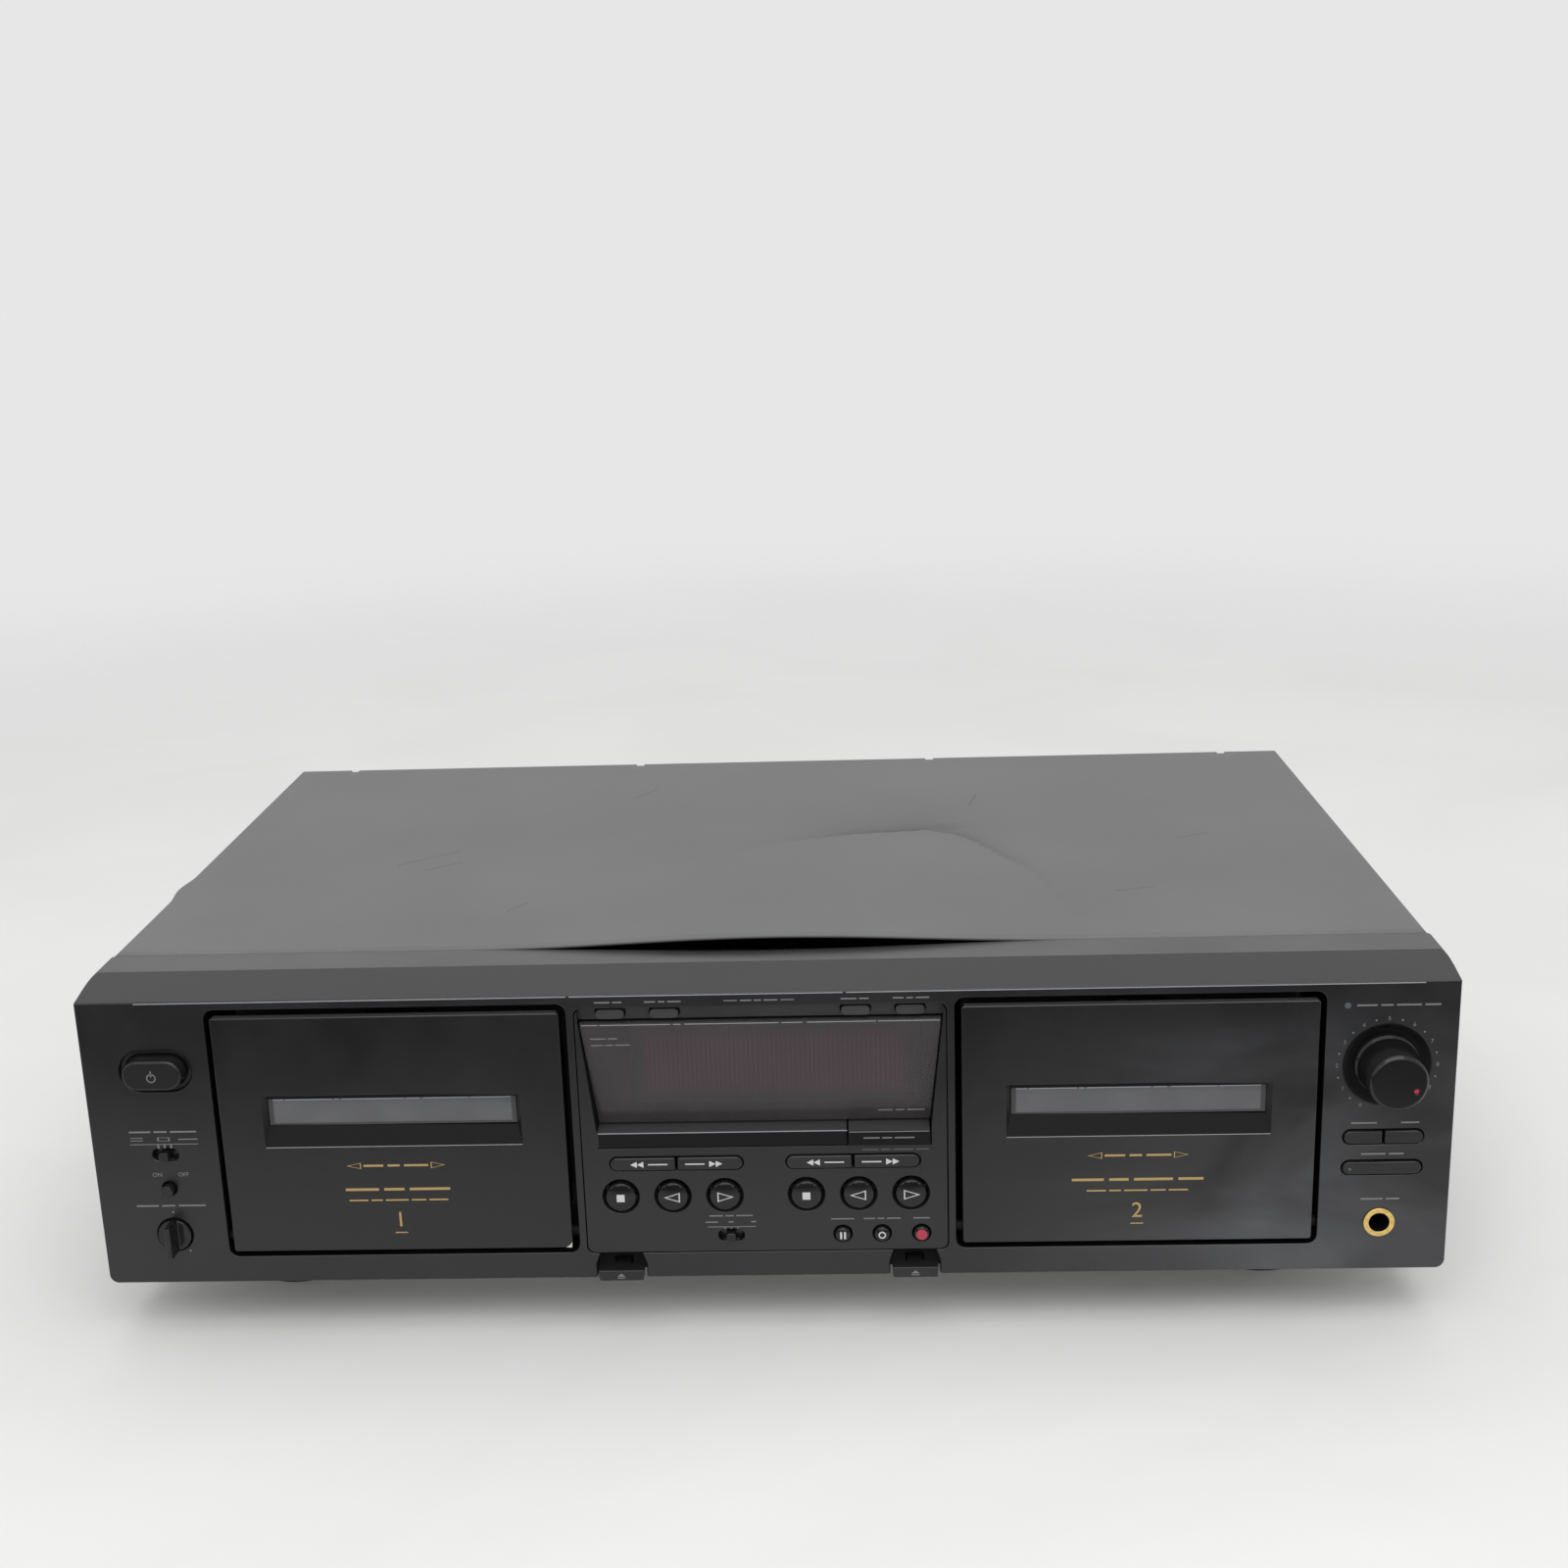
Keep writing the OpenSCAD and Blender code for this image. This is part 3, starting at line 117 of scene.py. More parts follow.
def add(tree, kind, settings=None, **sockets):
    node = tree.nodes.new(kind)
    for name, value in (settings or {}).items():
        setattr(node, name, value)
    for name, value in sockets.items():
        node.inputs[name.replace("_", " ")].default_value = value
    return node


def wire(tree, source, output, target, socket):
    tree.links.new(source.outputs[output], target.inputs[socket])


def calculate(tree, operation, *terms, kind="ShaderNodeMath"):
    node = add(tree, kind, {"operation": operation})
    for i, term in enumerate(terms):
        if isinstance(term, tuple):
            wire(tree, *term, node, i)
        else:
            node.inputs[i].default_value = term
    return node


def axes_of(tree, source, output):
    axes = add(tree, "ShaderNodeSeparateXYZ")
    wire(tree, source, output, axes, "Vector")
    return axes


def ramp_over(tree, source, output, low, high, to_high=1.0):
    ramp = add(tree, "ShaderNodeMapRange", From_Min=low, From_Max=high, To_Max=to_high)
    wire(tree, source, output, ramp, "Value")
    return ramp


print("node helpers ready")

# %% [markdown]
# ## What every finish shares
# A finish is a Principled shader with constants on its own sockets, plus up to three things that
# follow a noise: two shades of one colour, a gloss that drifts, and a fine relief. Each of these is
# one function. A colour is passed on as a pair of a node and its output, so that stains can be laid
# over it one after another with a Mix node, whose colour sockets are found by their places.

# %% Parts of a finish
NOISE_LOW, NOISE_HIGH = 0.3, 0.7
MIX_SHARE, MIX_UNDER, MIX_OVER, MIX_RESULT = 0, 6, 7, 2


def blank_material(name, **sockets):
    material = bpy.data.materials.new(name)
    material.use_nodes = True
    tree = material.node_tree
    tree.nodes.clear()
    shader = add(tree, "ShaderNodeBsdfPrincipled", **sockets)
    wire(tree, shader, "BSDF", add(tree, "ShaderNodeOutputMaterial"), "Surface")
    return material, tree, shader, add(tree, "ShaderNodeTexCoord")


def noise(tree, coords, mapping=None, **sockets):
    texture = add(tree, "ShaderNodeTexNoise", **sockets)
    source, output = coords, "Object"
    if mapping:
        source, output = add(tree, "ShaderNodeMapping", **mapping), "Vector"
        wire(tree, coords, "Object", source, "Vector")
    wire(tree, source, output, texture, "Vector")
    return texture


def shaded(shade, factor):
    return [min(1, c * factor) for c in shade]


def two_tone(tree, texture, dark, light, low=0.35, high=0.65):
    ramp = add(tree, "ShaderNodeValToRGB")
    for element, position, shade in zip(ramp.color_ramp.elements, (low, high), (dark, light)):
        element.position = position
        element.color = (*shade, 1)
    wire(tree, texture, "Fac", ramp, "Fac")
    return ramp, "Color"


def overlay(tree, under, mask, shade):
    mix = add(tree, "ShaderNodeMix", {"data_type": "RGBA"})
    wire(tree, mask, 0, mix, MIX_SHARE)
    wire(tree, *under, mix, MIX_UNDER)
    mix.inputs[MIX_OVER].default_value = (*shade, 1)
    return mix, MIX_RESULT


def vary_gloss(tree, shader, texture, low, high):
    drift = add(tree, "ShaderNodeMapRange", From_Min=NOISE_LOW, From_Max=NOISE_HIGH,
                To_Min=low, To_Max=high)
    wire(tree, texture, "Fac", drift, "Value")
    wire(tree, drift, "Result", shader, "Roughness")


def roughen(tree, shader, texture, strength, distance):
    relief = add(tree, "ShaderNodeBump", Strength=strength, Distance=distance)
    wire(tree, texture, "Fac", relief, "Height")
    wire(tree, relief, "Normal", shader, "Normal")


print("parts of a finish ready")

# %% [markdown]
# ## Wear and painted top light on the front
# Two traces of use lie over the clean finishes. A damp cloth has left cloudy streaks on the lower
# right of the front: a noise stretched sideways, faded in by two straight ramps over x and z. Dust
# lies on what faces straight up, and the same pale overlay is painted light on those tops, so its mask
# is the upward part of the surface normal.

# %% Wear and top light masks
STREAK_MAPPING = {"Scale": (9, 1, 26), "Rotation": (0, 0.12, 0)}
STREAK_NOISE, STREAK_X, STREAK_Z = (0.32, 0.8), (0.06, 0.17), (0.115, 0.075)
# the upward mask and its pale overlay stand for dust and painted light
DUST_AND_LIGHT_FROM, DUST_AND_LIGHT_COVER = 0.974, 0.55
WIPED, DUSTY_AND_LIT = (0.074, 0.076, 0.081), (0.085, 0.086, 0.087)


def wiped_streaks(tree, coords):
    cloud = noise(tree, coords, STREAK_MAPPING, Scale=1.0, Detail=3.0, Roughness=0.5, Distortion=1.1)
    axes = axes_of(tree, coords, "Object")
    mask = ramp_over(tree, cloud, "Fac", *STREAK_NOISE)
    for axis, limits in (("X", STREAK_X), ("Z", STREAK_Z)):
        fade = ramp_over(tree, axes, axis, *limits)
        mask = calculate(tree, "MULTIPLY", (mask, 0), (fade, 0))
    return mask


# dust and painted light on what faces up: a pale overlay by the upward normal
def settled_dust(tree):
    axes = axes_of(tree, add(tree, "ShaderNodeNewGeometry"), "Normal")
    return ramp_over(tree, axes, "Z", DUST_AND_LIGHT_FROM, 1.0, DUST_AND_LIGHT_COVER)


print("wear masks ready")

# %% [markdown]
# ## Moulded plastic
# The front, the doors and the keys are injection moulded, with a spark-eroded grain that breaks
# up the highlight. Two noises do it: a fine one for the grain's bump, and a wide one that varies
# the shade, and the gloss where hands have been. A photo texture could hold the same, but noise
# stays sharp at any distance and needs no file.

# %% Moulded plastic
SHADE_DRIFT, GRAIN_HEIGHT = 0.16, 0.00004


def moulded(name, shade, roughness, grain=2400, bump=0.2, specular=0.4, worn=False):
    material, tree, shader, coords = blank_material(name, Specular_IOR_Level=specular)
    fine = noise(tree, coords, Scale=grain, Detail=2.0)
    wide = noise(tree, coords, Scale=26.0, Detail=5.0, Roughness=0.6)
    colour = two_tone(tree, wide, shaded(shade, 1 - SHADE_DRIFT), shaded(shade, 1 + SHADE_DRIFT))
    if worn:
        colour = overlay(tree, colour, wiped_streaks(tree, coords), WIPED)
        # pale overlay on up-facing faces: dust and painted light
        colour = overlay(tree, colour, settled_dust(tree), DUSTY_AND_LIT)
    wire(tree, *colour, shader, "Base Color")
    vary_gloss(tree, shader, wide, low=roughness - 0.05, high=roughness + 0.06)
    roughen(tree, shader, fine, bump, GRAIN_HEIGHT)
    return material


front_plastic = moulded("front_plastic", (0.008, 0.008, 0.0092), 0.35, specular=0.58, worn=True)
door_plastic = moulded("door_plastic", (0.0055, 0.0055, 0.0063), 0.32, bump=0.12, specular=0.56, worn=True)
# a paler plastic: on the counter band, set back in the recess, it is painted light; the counter keys use it
# too
band_plastic = moulded("band_plastic", (0.036, 0.036, 0.038), 0.4)
# black of the bar and the dubbing key; also a painted shade on the door aprons, the panel wells and over
# the panes
apron_plastic = moulded("apron_plastic", (0.004, 0.004, 0.0045), 0.55, specular=0.2)
# black of the inside; also a painted shade in the key wells of the front and in the headphone bore
inner_plastic = moulded("inner_plastic", (0.003, 0.003, 0.003), 0.60, specular=0.2)
key_plastic = moulded("key_plastic", (0.015, 0.015, 0.016), 0.30, bump=0.10)
gloss_key = moulded("gloss_key", (0.009, 0.009, 0.0095), 0.12, bump=0.02)
white_plastic = moulded("white_plastic", (0.72, 0.72, 0.69), 0.45)
red_plastic = moulded("red_plastic", (0.36, 0.02, 0.02), 0.4)
foot_rubber = moulded("foot_rubber", (0.014, 0.014, 0.014), 0.75, grain=1500, bump=0.3)
print("moulded finishes made")

# %% [markdown]
# ## Painted steel
# The cover is folded steel with a fine textured paint. Seen at a flat angle it mirrors the pale room
# softly, which is why a dark grey paint reads as mid grey. The texture is a fine noise in the bump,
# and scratches are drawn as distances to short lines on the top. A painted shade darkens the paint
# where a shade value is stored on the mesh, which the cover has behind its fold.

# %% Painted steel
SCRATCHES = [
    ((76, 190), (80, 206)), ((-140, 125), (-119, 142)), ((-128, 118), (-116, 128)), ((120, 80), (134, 84)),
    ((-60, 210), (-52, 224)), ((150, 140), (163, 146)), ((-90, 70), (-84, 79)),
]
# the last factor is a painted shade: how dark the paint gets behind the cover's fold
SCRATCH_WIDTH, SCRATCH_SHADE, FOLD_SHADE_FACTOR = 0.45, 0.35, 0.2
PAINT_GRAIN, PAINT_HEIGHT = 0.35, 0.00005


def scratch_mask(tree, coords, start, end):
    a, b = place(*start, case_top), place(*end, case_top)
    along = (b - a).normalized()
    across = Vector((-along.y, along.x, 0))
    offset = calculate(tree, "SUBTRACT", (coords, "Object"), (a + b) / 2, kind=VECTORS)
    inside = []
    for direction, length in ((along, (b - a).length), (across, SCRATCH_WIDTH * MM)):
        reach = calculate(tree, "DOT_PRODUCT", (offset, "Vector"), direction, kind=VECTORS)
        size = calculate(tree, "ABSOLUTE", (reach, "Value"))
        within = calculate(tree, "LESS_THAN", (size, "Value"), length / 2)
        inside.append((within, "Value"))
    return calculate(tree, "MULTIPLY", *inside)


def painted(name, shade, roughness, scratches=()):
    material, tree, shader, coords = blank_material(name)
    fine = noise(tree, coords, Scale=1700.0, Detail=3.0)
    wide = noise(tree, coords, Scale=11.0, Detail=6.0, Roughness=0.62)
    colour = two_tone(tree, wide, shaded(shade, 0.9), shaded(shade, 1.1))
    if scratches:
        # painted shade behind the cover's fold, from a value stored on its mesh
        grime = add(tree, "ShaderNodeAttribute", {"attribute_name": "grime"})
        colour = overlay(tree, colour, grime, shaded(shade, FOLD_SHADE_FACTOR))
    for start, end in scratches:
        colour = overlay(tree, colour, scratch_mask(tree, coords, start, end), shaded(shade, SCRATCH_SHADE))
    wire(tree, *colour, shader, "Base Color")
    vary_gloss(tree, shader, wide, low=roughness - 0.04, high=roughness + 0.05)
    roughen(tree, shader, fine, PAINT_GRAIN, PAINT_HEIGHT)
    return material


cover_paint = painted("cover_paint", (0.122, 0.123, 0.125), 0.5, SCRATCHES)
rear_paint = painted("rear_paint", (0.05, 0.05, 0.052), 0.5)
black_steel = painted("black_steel", (0.018, 0.018, 0.018), 0.4)
print("paints made,", len(SCRATCHES), "scratches")

# %% [markdown]
# ## Metals and boards
# Plated sheet shows a faint spangle, turned pieces a ring of tool marks, and gilt a warm polish.
# A metal is all reflection, so its variety sits in the roughness and a weak bump. The boards are
# lacquered laminate with a grid of soldered rows.

# %% Metals and boards
MARK_STRENGTH, MARK_HEIGHT = 0.15, 0.00003


def metal(name, shade, roughness, grain, stretch=(1, 1, 1)):
    material, tree, shader, coords = blank_material(name, Metallic=1.0)
    marks = noise(tree, coords, {"Scale": stretch}, Scale=grain, Detail=3.0)
    colour = two_tone(tree, marks, shaded(shade, 0.85), shaded(shade, 1.08))
    wire(tree, *colour, shader, "Base Color")
    vary_gloss(tree, shader, marks, low=roughness * 0.8, high=roughness * 1.25)
    roughen(tree, shader, marks, MARK_STRENGTH, MARK_HEIGHT)
    return material


def lacquered_board(name):
    material, tree, shader, coords = blank_material(name, Roughness=0.3)
    rows = add(tree, "ShaderNodeTexBrick", Scale=1.0, Mortar_Size=0.0004, Brick_Width=0.009,
               Row_Height=0.003, Color1=(0.03, 0.13, 0.05, 1), Color2=(0.025, 0.11, 0.04, 1),
               Mortar=(0.10, 0.28, 0.12, 1))
    wire(tree, coords, "Object", rows, "Vector")
    wire(tree, rows, "Color", shader, "Base Color")
    return material


zinc_steel = metal("zinc_steel", (0.62, 0.62, 0.60), 0.32, 180)
turned_steel = metal("turned_steel", (0.72, 0.71, 0.69), 0.16, 900, (1, 0.1, 1))
core_steel = metal("core_steel", (0.20, 0.19, 0.18), 0.5, 1200, (0.05, 1, 0.05))
nickel = metal("nickel", (0.70, 0.68, 0.63), 0.2, 700)
gilt = metal("gilt", (0.83, 0.58, 0.20), 0.18, 800)
board_green = lacquered_board("board_green")
print("metals and boards made")

# %% [markdown]
# ## Windows
# The display window is smoked acrylic, so only the red filter of the display shows dimly through it.
# The door windows are silvered grey, with the dark well behind them. Both are thin sheets that bend
# light hardly at all, so a partly clear shader does: what lies behind shows by the share left clear,
# and lamps still light it, which a refracting shader would prevent.

# %% Windows
def window(name, tint, roughness, cover):
    material, tree, shader, coords = blank_material(name, Alpha=cover)
    haze = noise(tree, coords, Scale=60.0, Detail=4.0)
    colour = two_tone(tree, haze, shaded(tint, 0.93), shaded(tint, 1.07))
    wire(tree, *colour, shader, "Base Color")
    vary_gloss(tree, shader, haze, low=roughness, high=roughness + 0.03)
    return material


smoked_window = window("smoked_window", (0.056, 0.050, 0.053), 0.16, 0.55)
silvered_window = window("silvered_window", (0.112, 0.113, 0.118), 0.14, 0.9)
print("windows made")

# %% [markdown]
# ## From CAD node to finished piece
# The CAD surfaces arrive as loose triangles with knife edges. A real moulding has a small radius
# everywhere, and that radius is what draws the bright lines round doors and keys. A copy of the
# node is welded, its flat triangles are joined into whole faces, and a Bevel modifier rounds the
# sharp edges. A face can't have a hole in it, so a flat region with holes is first cut by a line
# through each hole, and the cut is marked as a seam that the joining respects. A line that already
# runs well inside another hole serves that one too.

# %% Welding and joining
FLAT = math.radians(0.3)
WELD = 0.002
SIDEWAYS = 0.7
HOLE_MARGIN = 0.2


def welded(name):
    shape = bmesh.new()
    shape.from_mesh(nodes[name].data)
    bmesh.ops.remove_doubles(shape, verts=shape.verts, dist=WELD * MM)
    return shape


def cut(shape, faces, point, normal):
    edges = {e for f in faces for e in f.edges}
    verts = {v for f in faces for v in f.verts}
    made = bmesh.ops.bisect_plane(shape, geom=[*faces, *edges, *verts], plane_co=point, plane_no=normal)
    for item in made["geom_cut"]:
        if isinstance(item, bmesh.types.BMEdge):
            item.seam = True
    return [item for item in made["geom"] if isinstance(item, bmesh.types.BMFace)]


def flat_regions(shape):
    left = set(shape.faces)
    while left:
        region, edge_of_region = [], [left.pop()]
        while edge_of_region:
            face = edge_of_region.pop()
            region.append(face)
            for edge in face.edges:
                if len(edge.link_faces) == 2 and edge.calc_face_angle() < FLAT:
                    for other in edge.link_faces:
                        if other in left:
                            left.remove(other)
                            edge_of_region.append(other)
        yield region


def rims(region):
    inside = set(region)
    open_edges = {e for f in region for e in f.edges if sum(g in inside for g in e.link_faces) == 1}
    loops = []
    while open_edges:
        loop, spread = set(), [open_edges.pop()]
        while spread:
            edge = spread.pop()
            loop.update(edge.verts)
            for vert in edge.verts:
                for other in vert.link_edges:
                    if other in open_edges:
                        open_edges.remove(other)
                        spread.append(other)
        loops.append(loop)
    return loops


def span(loop, axis):
    values = [vert.co[axis] for vert in loop]
    return min(values), max(values)


def length(ends):
    return ends[1] - ends[0]


def joined(shape):
    for region in list(flat_regions(shape)):
        loops = rims(region)
        axis = 2 if abs(region[0].normal.x) > SIDEWAYS else 0
        loops.sort(key=lambda loop: -sum(length(span(loop, k)) for k in range(3)))
        lines = []
        for low, high in sorted((span(loop, axis) for loop in loops[1:]), key=length):
            margin = (high - low) * HOLE_MARGIN
            if not any(low + margin < line < high - margin for line in lines):
                lines.append((low + high) / 2)
        direction = [1.0 if k == axis else 0.0 for k in range(3)]
        for line in lines:
            region = cut(shape, region, [line * k for k in direction], direction)
    bmesh.ops.dissolve_limit(shape, angle_limit=FLAT, verts=shape.verts, edges=shape.edges,
                             delimit={"SEAM"})
    return shape


print("welding and joining ready")

# %% [markdown]
# ## Softened copies
# A finished copy gets its material and its body in one place, and the bevel is a modifier,
# so that its radius can still be changed. The copy stands for the CAD node and moves with its body.
# An edge is rounded if it is sharper than an angle and starts within a reach of the piece's front.
# The walls of the window pocket in a door are shallow, and a bevel would bend its corners, so the doors
# round only what is sharper than sixty-two degrees. A key is rounded near its front only, because the
# collar behind the panel is too thin for a bevel and nobody sees it. Two cuts part the black bar from
# the control panel, because a finish belongs to whole faces.

# %% Rounding
EVERY_EDGE, DOOR_EDGES, KEY_EDGES = (32, math.inf), (62, math.inf), (32, 3)
BEVEL_SEGMENTS = 2
BAR_LEFT, BAR_FOOT, BAR_HEAD = -52.4, 64.1, 69.6
PANEL_LINES = [(place(BAR_LEFT, 0, 0), (1, 0, 0)), (place(0, 0, BAR_FOOT), (0, 0, 1))]
FLUSH, FACES_FRONT, FACES_UP = 0.1, -0.8, 0.9


def owned(name, mesh, body, slot):
    piece = bpy.data.objects.new(name, mesh)
    scene.collection.objects.link(piece)
    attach(piece, body)
    return piece


def finished(name, shape, material, body, slot, smooth=12):
    mesh = bpy.data.meshes.new(name)
    for face in shape.faces:
        face.smooth = True
    shape.to_mesh(mesh)
    shape.free()
    mesh.set_sharp_from_angle(angle=math.radians(smooth))
    mesh.materials.append(material)
    return owned(name, mesh, body, slot)


def rounded(piece, radius, chosen_edges=EVERY_EDGE):
    limit, reach = chosen_edges
    shape = bmesh.new()
    shape.from_mesh(piece.data)
    weight = shape.edges.layers.float.new("bevel_weight_edge")
    front = min(vert.co.y for vert in shape.verts)
    for edge in shape.edges:
        near = min(vert.co.y for vert in edge.verts) < front + reach * MM
        edge[weight] = float(near and edge.calc_face_angle(0) > math.radians(limit))
    shape.to_mesh(piece.data)
    shape.free()
    bevel = piece.modifiers.new("edge radius", "BEVEL")
    bevel.width = radius * MM
    bevel.segments = BEVEL_SEGMENTS
    bevel.limit_method = "WEIGHT"
    bevel.use_clamp_overlap = False
    bevel.harden_normals = True
    return piece


def softened(name, material, radius, chosen_edges):
    shape = welded(name)
    for point, normal in PANEL_LINES if name == "control_panel" else ():
        ahead = [f for f in shape.faces if f.normal.y < FACES_FRONT]
        cut(shape, [f for f in ahead if f.calc_center_median().y < face_y + FLUSH * MM], point, normal)
    piece = finished(name + "_finish", joined(shape), material, body_of[name], slot_of[name])
    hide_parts(name)
    return rounded(piece, radius, chosen_edges)


print("rounding ready")

# %% [markdown]
# ## Finishes of the front
# One table gives every softened piece its finish, its radius and the edges that are rounded. Some
# faces then get another finish: a painted shade on the aprons of the doors, the black bar and a painted
# shade in the wells of the control panel, a painted light on its counter band, the shelf under the window
# in front plastic whose pale top overlay is dust and painted light, and a painted shade in the bore of the
# headphone jack.

# %% Finishes of the front
APRON_LEAN = (0.2, 0.5)
WELL_FROM = 2
COUNTER_BAND, COUNTER_FOOT = (3, 4), 106
SHELF_REACH = 0.5
HEADPHONE_Z, HEADPHONE_BORE, HEADPHONE_LIP = 35.2, 3.6, 0.4


def on_decks(*names):
    return [f"{name}_{deck}" for deck in "ab" for name in names]


def refinish(piece, material, chosen):
    piece.data.materials.append(material)
    index = len(piece.data.materials) - 1
    for face in piece.data.polygons:
        x, y, z = face.center
        if chosen(x / MM, (y - face_y) / MM, z / MM, face.normal):
            face.material_index = index


# door apron: a painted shade, the door plastic made darker where the face leans up
def on_apron(x, depth, z, normal):
    return APRON_LEAN[0] < normal.z < APRON_LEAN[1] and normal.y < FACES_FRONT


# the black bar is its own colour; faces deeper than WELL_FROM get a painted shade
def on_bar_or_well(x, depth, z, normal):
    return depth > WELL_FROM or x > BAR_LEFT and BAR_FOOT < z < BAR_HEAD and depth < FLUSH


# counter band set back in the recess: painted light, in a paler plastic
def on_counter_band(x, depth, z, normal):
    return normal.y < FACES_FRONT and COUNTER_BAND[0] < depth < COUNTER_BAND[1] and z > COUNTER_FOOT


# shelf and dubbing key top: the front plastic, whose pale top overlay is dust and painted light
def on_shelf(x, depth, z, normal):
    return normal.z > FACES_UP and abs(z - BAR_HEAD) < SHELF_REACH


# headphone bore: a painted shade inside the gilt jack
def in_headphone_bore(x, depth, z, normal):
    return depth > HEADPHONE_LIP and math.hypot(x - RIGHT_X, z - HEADPHONE_Z) < HEADPHONE_BORE


FINISHES = [
    (["control_panel"], front_plastic, 0.15, EVERY_EDGE),
    (on_decks("cassette_door"), door_plastic, 0.5, DOOR_EDGES),
    (on_decks("rewind", "forward"), key_plastic, 0.6, KEY_EDGES),
    (["fader_button", "auto_level_button", "synchro_button"], key_plastic, 0.6, KEY_EDGES),
    (on_decks("counter_reset", "counter_memory"), band_plastic, 0.25, KEY_EDGES),
    (["dubbing_button"], apron_plastic, 0.25, KEY_EDGES),
    (["power_button"], key_plastic, 0.9, KEY_EDGES),
    (on_decks("eject"), key_plastic, 0.35, KEY_EDGES),
    (["direction_switch", "noise_switch", "pitch_switch"], gloss_key, 0.3, KEY_EDGES),
    (on_decks("stop", "reverse", "play"), gloss_key, 0.35, KEY_EDGES),
    (["pause_button", "record_mute_button", "record_button"], gloss_key, 0.25, KEY_EDGES),
    (["pitch_knob", "level_knob"], gloss_key, 0.4, EVERY_EDGE),
    (["rear_panel"], rear_paint, 0.15, EVERY_EDGE),
    (["headphone_jack"], gilt, 0.2, EVERY_EDGE),
]
# painted shade on the aprons, the panel wells and the headphone bore; painted light on the counter band and
# the shelf
OTHER_FACES = [
    ("cassette_door_a", apron_plastic, on_apron), ("cassette_door_b", apron_plastic, on_apron),
    ("control_panel", apron_plastic, on_bar_or_well), ("control_panel", band_plastic, on_counter_band),
    ("control_panel", front_plastic, on_shelf), ("dubbing_button", front_plastic, on_shelf),
    ("headphone_jack", inner_plastic, in_headphone_bore),
]
soft = {}
for names, *finish in FINISHES:
    for name in names:
        soft[name] = softened(name, *finish)
for name, material, chosen in OTHER_FACES:
    refinish(soft[name], material, chosen)
print("softened", len(soft), "nodes")

# %% [markdown]
# ## Pieces that keep their CAD shape
# Inside the deck and on the underside, the CAD surfaces are already right, so those nodes only
# get their finishes. Assigning a material to the node's own slot leaves its mesh untouched.

# %% Finishes on CAD nodes
PLAIN = [
    (smoked_window, ["display_window"]), (silvered_window, on_decks("door_window")),
    (zinc_steel, ["chassis_pan", "drive_motors"]), (black_steel, ["transport_frames"]),
    (foot_rubber, ["drive_belts", "feet"]), (board_green, ["circuit_boards"]),
    (core_steel, ["power_transformer"]), (nickel, ["line_jacks"]),
    (inner_plastic, on_decks("cassette_holder")), (white_plastic, on_decks("left_reel", "right_reel")),
    (turned_steel, on_decks("head_carriage", "left_capstan", "right_capstan")),
]
for material, names in PLAIN:
    for name in names:
        nodes[name].data.materials.clear()
        nodes[name].data.materials.append(material)
print("plain finishes on", sum(len(names) for _, names in PLAIN), "nodes")

# %% [markdown]
# ## Front moulding with a sagging lip
# The photographed deck has been stacked under something heavy: the rear lip of the front moulding
# sags a little in the middle, under the bowed cover. The welded copy is cut into strips along its
# top, so that a smooth dip can be pressed into the strips. The wells of the keys, and the slots in
# front of the eject keys, get a painted shade: the dark finish of the inside.

# %% Front moulding
LIP_FRONT, LIP_REAR, LIP_FOOT = 18, 32.8, 112
LIP_STRIP, LIP_STRIPS, LIP_CUTS = 8, range(-13, 15), (21, 24, 27, 30)
BOW_MIDDLE, SAG, SAG_REACH = 3, 1.7, 100
WELL_DEPTHS, WELL_STEP = (0.5, 16), 2.6
EJECT_SLOT_HEAD, EJECT_SLOT_HALF = 29, 9.5


def hump(t):
    return math.cos(math.pi / 2 * max(-1, min(1, t))) ** 2


# key wells and eject slots: a painted shade
def in_well(x, depth, z, normal):
    by_eject = z < EJECT_SLOT_HEAD and abs(abs(x) - EJECT_X) < EJECT_SLOT_HALF
    return WELL_DEPTHS[0] < depth < WELL_DEPTHS[1] and z < LIP_FOOT and (depth > WELL_STEP or by_eject)


moulding = welded("front_bezel")
lip = [f for f in moulding.faces if f.calc_center_median().z > LIP_FOOT * MM]
for strip in LIP_STRIPS:
    lip = cut(moulding, lip, place(BOW_MIDDLE + LIP_STRIP * strip, 0, 0), (1, 0, 0))
for depth in LIP_CUTS:
    lip = cut(moulding, lip, place(0, depth, 0), (0, 1, 0))
joined(moulding)
for vert in moulding.verts:
    depth = (vert.co.y - face_y) / MM
    if vert.co.z > LIP_FOOT * MM and depth > LIP_FRONT:
        reach = (depth - LIP_FRONT) / (LIP_REAR - LIP_FRONT)
        vert.co.z -= SAG * MM * hump((vert.co.x / MM - BOW_MIDDLE) / SAG_REACH) * reach ** 2
bezel = finished("front_moulding", moulding, front_plastic, "case", slot_of["front_bezel"])
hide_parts("front_bezel")
rounded(bezel, 0.45)
refinish(bezel, inner_plastic, in_well)
print("front moulding:", len(bezel.data.polygons), "faces")

# %% [markdown]
# ## Bowed steel cover
# The cover is one folded sheet, so it is modelled as one: a profile runs up the left side, over the
# top and down the right side, and is repeated from front to back. A height function then adds the
# damage in the photograph. The front edge bows up in the middle, and the sheet rises to it from a
# bent fold line, with a dip behind the fold and a dent at its corner. There is a ding on the left edge.
# Behind the fold a painted shade darkens the paint. Solidify gives the sheet its thickness.

